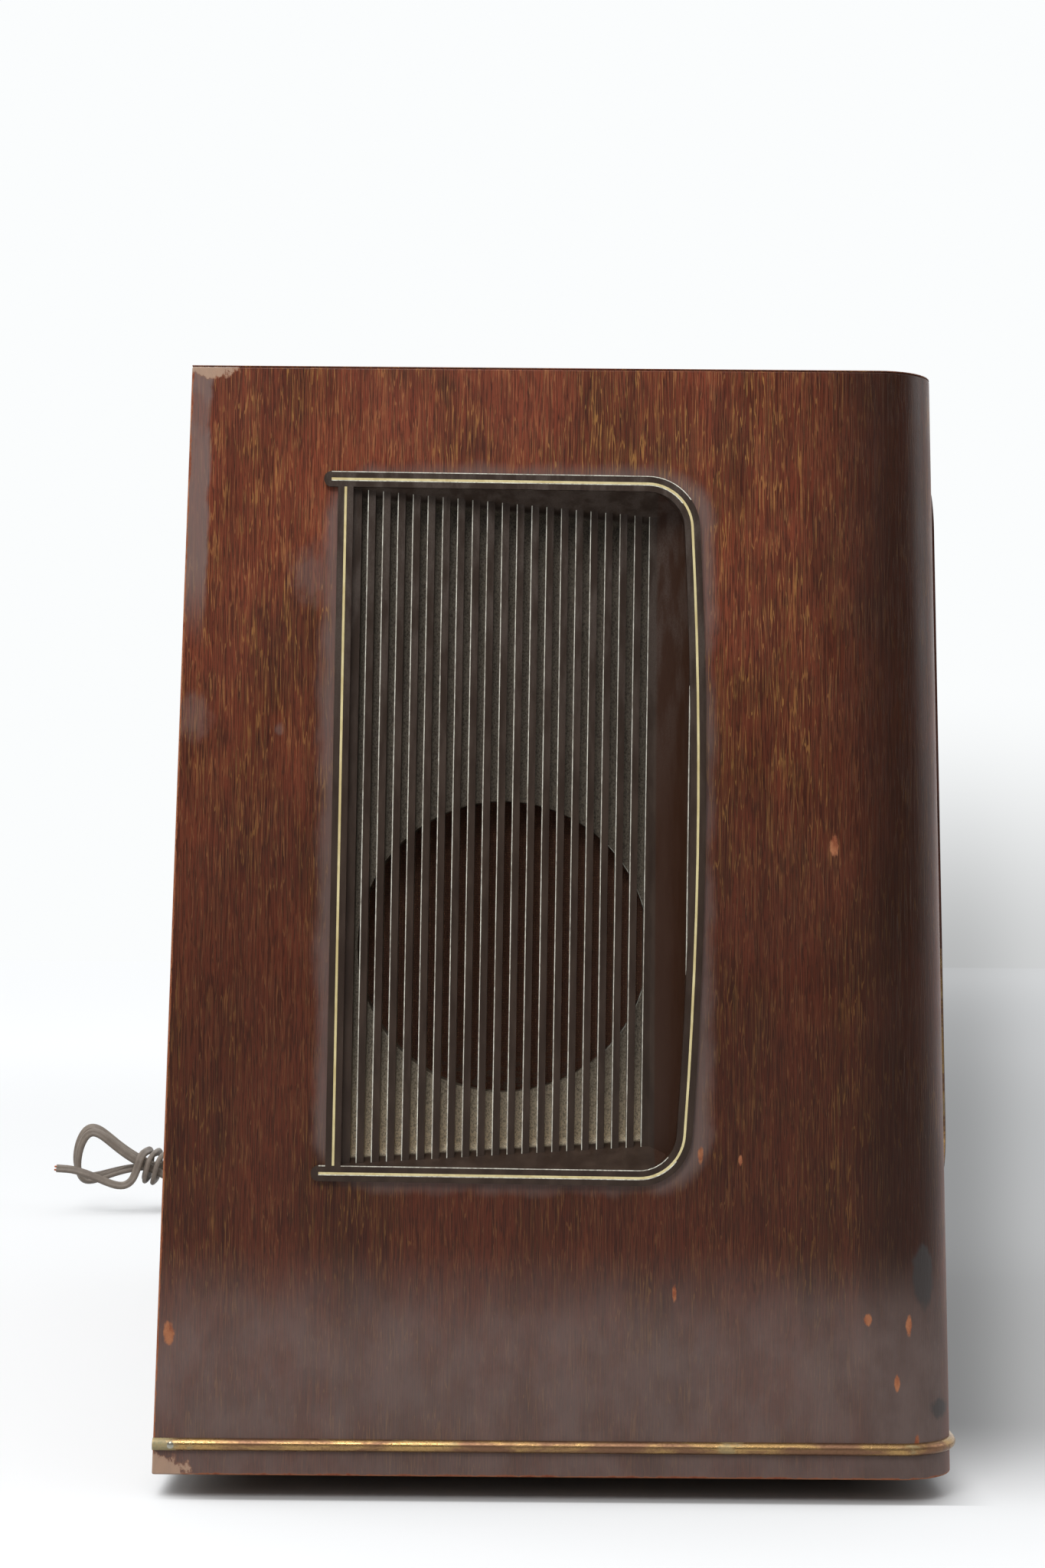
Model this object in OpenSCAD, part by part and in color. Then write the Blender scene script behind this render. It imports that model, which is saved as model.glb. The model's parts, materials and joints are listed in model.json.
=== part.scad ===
// Table radio of the nineteen-fifties: veneered cabinet with a loudspeaker grille in each side.
// Millimetres, +Z up, front towards -Y. The origin is on the floor under the middle of the set.

/* [Cabinet] */
// Width over the side panels
cabinet_width = 640; // [600:1:700]
// Height of the panels, without the runners
cabinet_height = 415.5; // [405:0.5:440]
// Depth at the bottom edge
base_depth = 299.7; // [295:0.1:330]
// How far the front leans back over its height
front_taper = 8.3; // [4:0.1:12]
// How far the back leans in over its height
back_taper = 9.4; // [4:0.1:12]
// Thickness of the bent side panels and of the front panel
panel_thickness = 9; // [8:0.5:10]
// Outer radius of the upright front corners
corner_radius = 22; // [20:0.5:26]
// How far the bent side panels run on into the front beyond the corner
front_return = 28; // [26:1:34]
// Thickness of the bottom board
bottom_thickness = 10; // [8:0.5:12]
// Height of the runners
runner_height = 9; // [6:0.5:14]
// Width of a runner
runner_width = 24; // [18:1:34]

/* [Bead] */
// Height of the middle of the bead above the panels' bottom edge
bead_level = 11.3; // [8:0.1:14]
// Radius of the half-round bead
bead_radius = 2.3; // [1.5:0.1:3]

/* [Side grille] */
// Distance of the loudspeaker hole's centre behind the middle of the base
hole_offset = 20.8; // [10:0.1:26]
// Height of the hole's centre above the panels' bottom edge
hole_level = 196.6; // [190:0.1:205]
// Radius of the loudspeaker hole
hole_radius = 55.3; // [50:0.1:56]
// Lean of the whole grille
grille_lean = 0.45; // [0:0.05:1]
// Height of the frame over all
grille_height = 266.2; // [262:0.1:270]
// Distance of the frame's top edge below the panels' top edge
grille_margin = 40.8; // [38:0.1:44]
// Reach of the frame behind the hole's centre, to the outer edge of the straight bar
grille_behind = 65.1; // [64.5:0.1:68]
// Reach of the frame before the hole's centre, at the middle of the bowed bar
grille_before = 75.1; // [75:0.1:77]
// How far the two long bars run past the straight bar
bar_overhang = 5.4; // [3:0.1:8]
// Width of the frame's bars
bar_width = 5.8; // [5:0.1:6.2]
// Width of the bowed bar
bow_width = 6.6; // [6:0.1:7]
// Radius of the bowed bar
bow_radius = 1850; // [1500:10:2500]
// Outer radius of the frame's two front corners
frame_corner = 20; // [16:0.5:24]
// How far the frame stands proud of the panel
frame_proud = 2; // [1:0.1:3]
// Distance from slat to slat
slat_pitch = 5.63; // [5.4:0.01:5.7]
// Width of a slat
slat_width = 2.9; // [2:0.1:3.5]
// Depth of the gaps between the slats
slat_depth = 8.5; // [6:0.1:9]
// Depth of the slats' faces at the deep end of the recess
recess_depth = 14; // [8:0.1:15]
// How far the recess draws in at top and bottom, at its deep end
recess_draw = 7.6; // [4:0.1:10]
// Depth of the moulding behind the panel's face
tub_depth = 26; // [25.5:0.1:30]
// Width of the inlaid line
inlay_width = 0.9; // [0.6:0.1:1.2]

/* [Front frame] */
// Height of the frame's lower edge above the panels' bottom edge
bezel_level = 101.5; // [100:0.5:104]
// Distance of the front frame's top edge below the panels' top edge
bezel_margin = 29.5; // [26:0.5:34]
// Thickness of the front frame
bezel_thickness = 5.8; // [4:0.1:7]
// Width of the front frame's border
bezel_border = 12; // [10:0.5:14]
// Outer corner radius of the front frame
bezel_corner = 24; // [16:0.5:28]
// Height of the dial window
dial_height = 76; // [70:0.5:78]
// Half the width of the dial window
dial_half = 170; // [150:1:190]
// Radius of the tuning eye
eye_radius = 12.8; // [10:0.1:13]

/* [Controls] */
// Height of the knobs' axis above the panels' bottom edge
knob_level = 57; // [55:0.5:60]
// Distance of a knob's axis from the middle
knob_spread = 160; // [150:1:175]
// Radius of a large knob
knob_radius = 24; // [20:0.5:26]
// Radius of a small knob
small_knob_radius = 12; // [9:0.5:13]
// How far the small knobs reach out of the front
knob_reach = 18; // [17:0.5:24]
// Distance from key to key
key_pitch = 26; // [24:0.5:28]
// Gap between two keys
key_gap = 1.6; // [1:0.1:3]
// Height of a key's cap
key_height = 20; // [16:0.5:21]
// How far a key stands out of the front
key_reach = 13; // [8:0.5:15]
// Full turn of a key when it is pressed
key_travel = 5.5; // [4:0.5:6]
// Distance of the keys' pivot rod behind the front
rod_setback = 66; // [62:0.5:72]

/* [Works] */
// Width of the chassis
chassis_width = 400; // [390:1:420]
// Height of the chassis
chassis_height = 62; // [60:0.5:66]
// Depth of the base that the chassis leaves free, in front and behind together
chassis_space = 43.7; // [42:0.1:50]
// Thickness of sheet metal
sheet = 1.5; // [1:0.1:2]
// Radius at which the cord runs on the dial drum
drum_radius = 60; // [56:0.5:61]
// Radius at which the cord runs on the tuning spool
spool_radius = 5; // [4.9:0.1:6]
// Radius at which the cord runs on a pulley
pulley_radius = 6; // [5:0.1:7]
// Distance between the front loudspeaker's rim and the long edges of its board
speaker_margin = 0.3; // [0.3:0.1:4]
// Rim radius of a side loudspeaker
side_speaker_radius = 66; // [64:0.5:67]
// Radial clearance of a shaft that turns in a hole
running = 0.05; // [0.02:0.01:0.08]

/* [Cord] */
// Width of the mains cord
cord_width = 5; // [4:0.1:6]
// Reach of a loop of the tied cord from the tie
loop_reach = 55; // [54:1:60]
// Width of a loop of the tied cord
loop_width = 44; // [40:1:46]
// Distance along the bundle from pass to pass
loop_step = 6.1; // [6:0.1:7]

/* [Hidden] */
$fn = 96;

// Levels and planes that the rest is tied to
z0 = runner_height;
z1 = z0 + cabinet_height;
half_width = cabinet_width / 2;
front_lean = atan(front_taper / cabinet_height);
back_lean = atan(back_taper / cabinet_height);
knob_z = z0 + knob_level;
// The knobs reach as far before the origin as the bottom edge reaches behind it
base_middle = (knob_reach - front_taper * knob_level / cabinet_height) / 2;
function front_y(z) = base_middle - base_depth / 2 + front_taper * (z - z0) / cabinet_height;
function back_y(z) = base_middle + base_depth / 2 - back_taper * (z - z0) / cabinet_height;
knob_y = front_y(knob_z);
beyond = 60;
big = 1000;
veneer = 0.5;
inside = half_width - panel_thickness;
floor_z = z0 + bottom_thickness;

// A frame on the front's surface: y inwards, z up along the front from its bottom edge
module on_front() {
    translate([0, front_y(z0), z0]) rotate([-front_lean, 0, 0]) children();
}

// A frame on the back's plane: y outwards, z up along the back from its bottom edge
module on_back() {
    translate([0, back_y(z0), z0]) rotate([back_lean, 0, 0]) children();
}

module between(low, high) {
    translate([-big, -big, low]) cube([2 * big, 2 * big, high - low]);
}

module before_back(inset = 0) {
    on_back() translate([-big, -2 * big - inset, -beyond])
        cube([2 * big, 2 * big, cabinet_height + 2 * beyond]);
}

// Outline of the cabinet seen from above, open towards the back
module plan(inset = 0) {
    r = corner_radius - inset;
    wide = half_width - corner_radius;
    for (s = [-1, 1]) translate([s * wide, corner_radius]) circle(r);
    translate([-wide, inset]) square([2 * wide, corner_radius]);
    translate([-half_width + inset, corner_radius]) square([cabinet_width - 2 * inset, big]);
}

// The space inside the cabinet's outer surface, less an inset all round
module hull_space(inset, low, high) {
    intersection() {
        on_front() translate([0, 0, -beyond]) linear_extrude(cabinet_height + 2 * beyond) plan(inset);
        before_back();
        between(low, high);
    }
}

// A flat shape given as (y, z), drawn out along +x
module across(from, to) {
    translate([from, 0, 0]) rotate([90, 0, 90]) linear_extrude(to - from) children();
}

// A round bar along +y
module bar_y(x, y, z, r, length) {
    translate([x, y, z]) rotate([-90, 0, 0]) cylinder(r = r, h = length);
}

// Cabinet

module side_panel() {
    difference() {
        intersection() {
            hull_space(0, z0, z1 - veneer);
            on_front() translate([0, 0, -beyond]) linear_extrude(cabinet_height + 2 * beyond) {
                difference() {
                    translate([-half_width - 1, -1])
                        square([corner_radius + front_return + 1, big]);
                    plan(panel_thickness);
                }
            }
        }
        on_grille() across(-beyond, tub_depth + beyond) tub_outline(tub_gap);
    }
}

module side_panel_left() {
    color("saddlebrown") side_panel();
}

module side_panel_right() {
    color("saddlebrown") mirror([1, 0, 0]) side_panel();
}

module top_panel() {
    color("sienna") {
        hull_space(panel_thickness, z1 - panel_thickness, z1 - veneer);
        hull_space(0, z1 - veneer, z1);
    }
}

module bottom_board() {
    color("peru") hull_space(panel_thickness, z0, floor_z);
}

front_half = half_width - corner_radius - front_return;
bezel_height = cabinet_height - bezel_level - bezel_margin;
trim = 1.2;
bezel_half = front_half - trim - 0.3;
bezel_top = bezel_level + bezel_height;
dial_low = bezel_level + bezel_border;
dial_high = dial_low + dial_height;
// How far an opening of the front panel runs on behind the front frame
lap = 4;
rail_height = 18;
cloth_half = bezel_half - bezel_border + lap;
cloth_low = dial_high + rail_height + lap;
cloth_high = bezel_top - bezel_border + lap;
glass_lip = 6;
key_count = 7;
key_drop = 18;
key_low = knob_level - key_drop;
key_clear = 1;
key_bank = key_count * key_pitch / 2 + key_clear;
slot_low = key_low - (rod_setback + key_reach) * sin(key_travel) - key_clear;
slot_high = key_low + key_height + 2 * key_clear;
eye_shift = 6;
eye_x = (dial_half + front_half) / 2 - eye_shift;
eye_level = (dial_low + dial_high) / 2;
eye_fit = 0.2;
shaft_clear = 1.5;

module front_panel() {
    color("saddlebrown") difference() {
        intersection() {
            on_front() translate([-front_half, 0, -beyond])
                cube([2 * front_half, panel_thickness, cabinet_height + 2 * beyond]);
            between(floor_z, z1 - panel_thickness);
        }
        on_front() {
            translate([-cloth_half, -1, cloth_low])
                cube([2 * cloth_half, beyond, cloth_high - cloth_low]);
            translate([-dial_half - glass_lip, -1, dial_low - lap])
                cube([2 * (dial_half + glass_lip), beyond, dial_height + 2 * lap]);
            translate([-key_bank, -1, slot_low]) cube([2 * key_bank, beyond, slot_high - slot_low]);
        }
        on_front() bar_y(eye_x, -1, eye_level, eye_radius + eye_fit, beyond);
        for (s = [-1, 1]) bar_y(s * knob_spread, knob_y - 5, knob_z, tube_radius + shaft_clear, beyond);
    }
    color("saddlebrown") intersection() {
        hull_space(0, z0, z1 - veneer);
        on_front() translate([-front_half, 0, -beyond])
            cube([2 * front_half, panel_thickness, cabinet_height + 2 * beyond]);
        union() {
            between(z0, floor_z);
            between(z1 - panel_thickness, z1 - veneer);
        }
    }
}

block_size = 15;
module corner_blocks() {
    color("burlywood") intersection() {
        hull_space(panel_thickness, floor_z, z1 - panel_thickness);
        on_front() translate([0, 0, -beyond]) for (s = [-1, 1])
            translate([s * (inside - block_size / 2) - block_size / 2, panel_thickness, 0])
                cube([block_size, block_size, cabinet_height + 2 * beyond]);
    }
}

cover_inset = 4;
cover_thickness = 4;
batten = 12;
module back_battens() {
    color("burlywood") intersection() {
        on_back() for (s = [-1, 1])
            translate([s * (inside - batten / 2) - batten / 2, -cover_inset - cover_thickness - batten,
                -beyond])
                cube([batten, batten, cabinet_height + 2 * beyond]);
        between(floor_z, z1 - panel_thickness);
    }
}

runner_side = 52;
runner_front = 26;
runner_back = 40;
runner_screw_inset = 30;
module base_runners() {
    color("black") for (s = [-1, 1])
        translate([s * (half_width - runner_side - runner_width / 2) - runner_width / 2,
            front_y(z0) + runner_front, 0])
            difference() {
                cube([runner_width, runner_length, runner_height]);
                for (y = runner_screw_places)
                    translate([runner_width / 2, y, -1]) cylinder(r = screw_head, h = screw_sunk + 1);
            }
}

screw_head = 4;
screw_sunk = 4;
screw_thickness = 2;
screw_slot = [1, 0.8];
runner_length = base_depth - runner_front - runner_back;
runner_screw_places = [runner_screw_inset, runner_length / 2, runner_length - runner_screw_inset];
module runner_screws() {
    color("silver") for (s = [-1, 1])
        for (y = runner_screw_places)
            translate([s * (half_width - runner_side - runner_width / 2),
                front_y(z0) + runner_front + y, screw_sunk - screw_thickness])
                difference() {
                    cylinder(r = screw_head - 0.2, h = screw_thickness);
                    translate([-screw_head, -screw_slot[0] / 2, -0.01])
                        cube([2 * screw_head, screw_slot[0], screw_slot[1]]);
                }
}

module brass_bead() {
    level = z0 + bead_level;
    front = front_y(level);
    wide = half_width - corner_radius;
    color("goldenrod") difference() {
        intersection() {
            union() {
                for (s = [-1, 1]) {
                    bar_y(s * half_width, front + corner_radius, level, bead_radius, base_depth);
                    translate([s * wide, front + corner_radius, level]) intersection() {
                        rotate_extrude() translate([corner_radius, 0]) circle(bead_radius);
                        translate([s > 0 ? 0 : -2 * corner_radius, -2 * corner_radius, -beyond])
                            cube([2 * corner_radius, 2 * corner_radius, 2 * beyond]);
                    }
                }
                translate([-wide, front, level]) rotate([0, 90, 0])
                    cylinder(r = bead_radius, h = 2 * wide);
            }
            before_back();
        }
        on_front() translate([0, 0, -beyond]) linear_extrude(cabinet_height + 2 * beyond) plan();
    }
}

// Side grille, drawn for the left side: x inwards from the panel's face, y and z from the hole

module on_grille() {
    translate([-half_width, base_middle + hole_offset, z0 + hole_level]) rotate([grille_lean, 0, 0])
        children();
}

tub_inset = 2.5;
tub_gap = 0.3;
grille_above = cabinet_height - hole_level - grille_margin;
grille_below = grille_height - grille_above;
grille_mid = grille_above - grille_height / 2;
low_strip = 3.1;
field_behind = grille_behind - bar_width - low_strip;
last_slat = 19;
first_slat = field_behind - 2.25;
field_before = first_slat - last_slat * slat_pitch - slat_width;
cove_end = -(grille_before - bow_width);
strip_depth = 1;
draw_rate = recess_draw / recess_depth;

// A window shape with a straight side at y = behind, a bowed side and two round corners
module bowed(inset, behind) {
    r = frame_corner - inset;
    bow = bow_radius - inset;
    half = grille_height / 2 - inset;
    middle = bow_radius - grille_before;
    centre = middle - sqrt(pow(bow - r, 2) - pow(half - r, 2));
    tangent = (half - r) * bow / (bow - r);
    translate([0, grille_mid]) {
        intersection() {
            translate([middle, 0]) circle(bow, $fn = 720);
            translate([-2 * grille_before, -tangent])
                square([2 * grille_before + behind, 2 * tangent]);
        }
        for (s = [-1, 1]) translate([centre, s * (half - r)]) circle(r);
        translate([centre, -half]) square([behind - centre, 2 * half]);
    }
}

module tub_outline(gap) {
    bowed(tub_inset - gap, grille_behind - tub_inset + gap);
}

module frame_outline() {
    bowed(0, grille_behind);
    round_end = bar_width / 2;
    for (z = [grille_above - round_end, round_end - grille_below]) {
        translate([0, z - round_end])
            square([grille_behind + bar_overhang - round_end, bar_width]);
        translate([grille_behind + bar_overhang - round_end, z]) circle(round_end);
    }
}

// Depth of the slats' faces at a place across the grille
function face_depth(y) = strip_depth
    + (recess_depth - strip_depth) * (field_behind - y) / (field_behind - field_before);

// The hollow moulding between the slats and the bowed bar, as points (x, y)
cove_flats = 10;
cove_lip = 0.5;
cove_points =
    let(a = [recess_depth, field_before], b = [cove_lip, cove_end], chord = norm(b - a), r = 1.5 * chord,
        off = sqrt(r * r - chord * chord / 4), across_chord = [-(b - a)[1], (b - a)[0]] / chord,
        centre = (a + b) / 2 - across_chord * off, from = atan2(a[1] - centre[1], a[0] - centre[0]),
        to = atan2(b[1] - centre[1], b[0] - centre[0]))
    [for (i = [0:cove_flats]) centre + r * [cos(from + (to - from) * i / cove_flats),
        sin(from + (to - from) * i / cove_flats)]];

function slat_start(i) = first_slat - i * slat_pitch;
function gap_start(i) = i == 0 ? field_behind : slat_start(i - 1) - slat_width;

// The recess with the gaps between the slats, as a comb of points (x, y)
comb = concat(
    [[-beyond, grille_behind], [strip_depth, grille_behind], [strip_depth, field_behind]],
    [for (i = [0:last_slat]) each [
        [face_depth(gap_start(i)) + slat_depth, gap_start(i)],
        [face_depth(slat_start(i)) + slat_depth, slat_start(i)],
        [face_depth(slat_start(i)), slat_start(i)],
        [face_depth(gap_start(i + 1)), gap_start(i + 1)]]],
    [for (i = [1:cove_flats]) cove_points[i]],
    [[cove_lip, cove_end - frame_corner], [-beyond, cove_end - frame_corner]]);

module recess() {
    intersection() {
        across(-beyond, tub_depth) bowed(bar_width, grille_behind - bar_width);
        splay();
        translate([0, 0, -grille_height]) linear_extrude(2 * grille_height) polygon(comb);
    }
}

// The space between the splayed top and bottom walls of the recess
module splay() {
    top = grille_above - bar_width;
    low = bar_width - grille_below;
    translate([0, beyond * 2, 0]) rotate([90, 0, 0]) linear_extrude(4 * beyond)
        polygon([[-beyond, low - draw_rate * beyond], [beyond, low + draw_rate * beyond],
            [beyond, top - draw_rate * beyond], [-beyond, top + draw_rate * beyond]]);
}

// The space behind a sloping plane that lies deeper than the slats' faces by extra
module behind_field(extra, behind, before) {
    translate([0, 0, -grille_below]) linear_extrude(grille_height)
        polygon([[face_depth(behind) + extra, behind], [tub_depth + beyond, behind],
            [tub_depth + beyond, before], [face_depth(before) + extra, before]]);
}

// How much shallower the slats are where they cross the hole
slat_relief = 0.4;
wall = 3;
inlay_inset = 2.45;
inlay_depth = 0.4;
module inlay_lines() {
    end = grille_behind + bar_overhang - bar_width / 2;
    difference() {
        bowed(inlay_inset, end);
        bowed(inlay_inset + inlay_width, end + 1);
    }
    translate([grille_behind - bar_width / 2 - inlay_width / 2, bar_width - grille_below])
        square([inlay_width, grille_height - 2 * bar_width]);
}

module side_grille() {
    on_grille() difference() {
        union() {
            across(-frame_proud, 0) frame_outline();
            across(0, tub_depth) tub_outline(0);
        }
        recess();
        intersection() {
            rotate([0, 90, 0]) cylinder(r = hole_radius, h = tub_depth + beyond);
            behind_field(slat_depth - slat_relief, field_behind + 1, field_before - 1);
        }
        difference() {
            intersection() {
                across(0, tub_depth + beyond) bowed(tub_inset + wall, grille_behind - tub_inset - wall);
                behind_field(slat_depth + wall, field_behind, field_before);
            }
            rotate([0, 90, 0]) cylinder(r = side_speaker_radius + 1, h = tub_depth + beyond);
        }
        across(-frame_proud - 1, inlay_depth - frame_proud) inlay_lines();
    }
}

module side_grille_left() {
    color("#3a2a22") side_grille();
}

module side_grille_right() {
    color("#3a2a22") mirror([1, 0, 0]) side_grille();
}

module grille_inlay() {
    on_grille() across(-frame_proud, inlay_depth - frame_proud) inlay_lines();
}

module grille_inlay_left() {
    color("gold") grille_inlay();
}

module grille_inlay_right() {
    color("gold") mirror([1, 0, 0]) grille_inlay();
}

cloth = 1;
module side_cloth() {
    on_grille() translate([tub_depth, 0, 0]) rotate([0, 90, 0])
        cylinder(r = side_speaker_radius, h = cloth);
}

module side_cloth_left() {
    color("#5a4030") side_cloth();
}

module side_cloth_right() {
    color("#5a4030") mirror([1, 0, 0]) side_cloth();
}

// Loudspeakers, drawn with their mounting face at z = 0 and their depth along +z

flange = 1.5;
coil_share = 0.2;
coil_gap = 0.5;
coil_wall = 0.8;
function basket_depth(rim) = rim * 0.42;
function magnet_radius(rim) = rim * 0.42;
function coil_radius(rim) = rim * coil_share;
magnet_depth = 16;

module loudspeaker(rim) {
    depth = basket_depth(rim);
    magnet = magnet_radius(rim);
    coil = coil_radius(rim);
    difference() {
        cylinder(r = rim, h = flange);
        translate([0, 0, -1]) cylinder(r = rim - 6, h = flange + 2);
    }
    difference() {
        translate([0, 0, flange]) cylinder(r1 = rim - 4.5, r2 = magnet + 2, h = depth - flange);
        translate([0, 0, flange - 0.01])
            cylinder(r1 = rim - 6, r2 = magnet, h = depth - flange - 1.5);
        translate([0, 0, depth - 3]) cylinder(r = coil + 4, h = 6);
        for (i = [0:2]) rotate([0, 0, 30 + i * 60])
            translate([-rim, -rim * 0.16, flange + 4]) cube([2 * rim, rim * 0.32, depth - flange - 8]);
    }
    difference() {
        translate([0, 0, depth]) cylinder(r = magnet, h = magnet_depth);
        difference() {
            translate([0, 0, depth - 1]) cylinder(r = coil + coil_gap, h = magnet_depth - 3);
            translate([0, 0, depth - 2]) cylinder(r = coil - coil_wall - coil_gap, h = magnet_depth);
        }
    }
}

module cone(rim) {
    depth = basket_depth(rim);
    coil = coil_radius(rim);
    edge = rim - 10.5;
    start = flange + 1.3;
    inner = depth - 4;
    difference() {
        union() {
            translate([0, 0, start]) cylinder(r1 = edge, r2 = coil, h = inner - start);
            translate([0, 0, inner - 0.01]) cylinder(r = coil, h = depth + 6 - inner);
        }
        translate([0, 0, start - 0.01]) cylinder(r1 = edge - 1.6, r2 = coil - coil_wall, h = inner - start);
        translate([0, 0, inner - 0.02]) cylinder(r = coil - coil_wall, h = depth + beyond);
    }
    translate([0, 0, inner - 0.5]) cylinder(r = coil - coil_wall + 0.2, h = 1.2);
}

module at_side_speaker() {
    on_grille() translate([tub_depth + cloth, 0, 0]) rotate([0, 90, 0]) children();
}

module side_speaker_left() {
    color("dimgray") at_side_speaker() loudspeaker(side_speaker_radius);
}

module side_speaker_right() {
    color("dimgray") mirror([1, 0, 0]) at_side_speaker() loudspeaker(side_speaker_radius);
}

module side_cone_left() {
    color("#2b2622") at_side_speaker() cone(side_speaker_radius);
}

module side_cone_right() {
    color("#2b2622") mirror([1, 0, 0]) at_side_speaker() cone(side_speaker_radius);
}

board_lap = 8;
board_low = cloth_low - board_lap + 2;
board_high = cloth_high + board_lap;
board_half = front_half - 6;
board_thickness = 8;
speaker_level = (board_low + board_high) / 2;
front_speaker_radius = (board_high - board_low) / 2 - speaker_margin;
board_y = panel_thickness + cloth;

module front_cloth() {
    color("#8a6a42") on_front() translate([-board_half, panel_thickness, board_low])
        cube([2 * board_half, cloth, board_high - board_low]);
}

module speaker_board() {
    color("tan") on_front() difference() {
        translate([-board_half, board_y, board_low])
            cube([2 * board_half, board_thickness, board_high - board_low]);
        bar_y(0, board_y - 1, speaker_level, front_speaker_radius - 8, board_thickness + 2);
    }
}

module at_front_speaker() {
    on_front() translate([0, board_y + board_thickness, speaker_level]) rotate([-90, 0, 0]) children();
}

module front_speaker() {
    color("dimgray") at_front_speaker() loudspeaker(front_speaker_radius);
}

module front_cone() {
    color("#2b2622") at_front_speaker() cone(front_speaker_radius);
}

// Front frame and dial

module round_plate(half, low, high, r) {
    for (s = [-1, 1]) for (z = [low + r, high - r]) translate([s * (half - r), z]) circle(r);
    translate([-half + r, low]) square([2 * (half - r), high - low]);
    translate([-half, low + r]) square([2 * half, high - low - 2 * r]);
}

// A flat shape given as (x, z) on the front, drawn from y = from to y = to
module on_face(from, to) {
    on_front() translate([0, to, 0]) rotate([90, 0, 0]) linear_extrude(to - from) children();
}

module bezel_outline(grow = 0) {
    round_plate(bezel_half + grow, bezel_level - grow, bezel_top + grow, bezel_corner + grow);
}

module front_bezel() {
    color("#5a2a1c") difference() {
        on_face(-bezel_thickness, 0) difference() {
            bezel_outline();
            round_plate(bezel_half - bezel_border, dial_high + rail_height,
                bezel_top - bezel_border, bezel_corner - bezel_border);
            round_plate(dial_half, dial_low, dial_high, 4);
        }
        on_front() bar_y(eye_x, -beyond, eye_level, eye_radius + eye_fit, 2 * beyond);
    }
}

// A brass strip round the lower part of the frame's edge, let back from its face
trim_back = 0.4;
trim_depth = 1.4;
trim_above = 7;
module dial_trim() {
    color("goldenrod") on_face(trim_back - bezel_thickness, trim_back + trim_depth - bezel_thickness)
        intersection() {
            difference() {
                bezel_outline(trim);
                bezel_outline();
            }
            translate([-big, 0]) square([2 * big, dial_high + trim_above]);
        }
}

glass_thickness = 3;
glass_fit = 0.3;
module dial_glass() {
    half = dial_half + glass_lip - glass_fit;
    color("lightyellow", 0.4) on_face(0, glass_thickness)
        translate([-half, dial_low - lap + glass_fit])
            square([2 * half, dial_height + 2 * (lap - glass_fit)]);
}

plate_y = panel_thickness + 2;
plate_thickness = 1.2;
plate_half = dial_half + 16;
plate_low = dial_low - 10;
plate_high = dial_high + 9;
cord_radius = 0.4;
cord_clear = 0.3;
cord_y = knob_y + 19.8;
drum_x = 60;
drum_z = z0 + 123;
pulley_x = 112;
pulley_z = drum_z + drum_radius - 2;
stud = 1.5;
stud_head = 2.5;
pulley_half = 2.2;
peg_radius = 3.5;
peg_inset = 5;
lamp_inset = 18;
lamp_rise = 9;

module dial_plate() {
    color("#e8dcb8") on_front() {
        translate([-plate_half, plate_y, plate_low])
            cube([2 * plate_half, plate_thickness, plate_high - plate_low]);
        for (s = [-1, 1]) for (z = [plate_low + peg_inset, plate_high - peg_inset])
            bar_y(s * (plate_half - peg_inset), panel_thickness, z, peg_radius,
                plate_y - panel_thickness + 0.5);
    }
    color("silver") for (s = [-1, 1]) {
        start = front_y(pulley_z) + plate_y + plate_thickness / 2;
        bar_y(s * pulley_x, start, pulley_z, stud, cord_y + pulley_half + 1.5 - start);
        bar_y(s * pulley_x, cord_y + pulley_half + 0.3, pulley_z, stud_head, 1.2);
    }
    color("white") on_front() for (s = [-1, 1]) {
        lamp = plate_low + lamp_rise;
        bar_y(s * (dial_half - lamp_inset), plate_y + plate_thickness - 0.2, lamp, 5, 3);
        bar_y(s * (dial_half - lamp_inset), plate_y + plate_thickness + 2.5, lamp, 3.6, 7);
    }
}

// The pointer hangs before the plate, bends back over its top edge and ends in a clip on the cord
pointer_width = 1.4;
pointer_gap = 0.6;
pointer_thickness = 0.8;
pointer_foot = 4;
clip_width = 10;
module dial_pointer() {
    back = plate_y + plate_thickness;
    blade_y = panel_thickness + pointer_gap;
    run = pulley_z + pulley_radius;
    arm = cord_radius + cord_clear;
    color("firebrick") on_front() {
        translate([-pointer_width / 2, blade_y, dial_low + pointer_foot])
            cube([pointer_width, pointer_thickness, plate_high + 3 - dial_low - pointer_foot]);
        translate([-clip_width / 2, blade_y, plate_high + 0.3])
            cube([clip_width, back + 1.3 - blade_y, 2.7]);
        translate([-clip_width / 2, back + 0.4, run - z0 - 3])
            cube([clip_width, 0.9, plate_high + 1 - run + z0 + 3]);
    }
    color("firebrick") difference() {
        translate([-clip_width / 2, front_y(run) + back + 0.8, run - arm - 1])
            cube([clip_width, 5.2, 2 * arm + 2]);
        translate([-clip_width, cord_y - arm, run - arm]) cube([2 * clip_width, beyond, 2 * arm]);
    }
}

// Dial cord: points are (x, z) in the cord's plane

function tangent(a, ra, b, rb, side) =
    let(d = b - a, l = norm(d), u = d / l, n = [-u[1], u[0]] * side, c = (ra - rb) / l,
        s = sqrt(1 - c * c), v = u * c + n * s)
    [a + v * ra, b + v * rb];

function heading(centre, p) = atan2(p[1] - centre[1], p[0] - centre[0]);

// Points on a wheel between two places on its rim, clockwise, without the two places
function round_wheel(centre, r, p, q, steps) =
    let(a = heading(centre, p), b = heading(centre, q), to = b > a ? b - 360 : b)
    [for (i = [1:steps - 1]) centre + r * [cos(a + (to - a) * i / steps), sin(a + (to - a) * i / steps)]];

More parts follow.
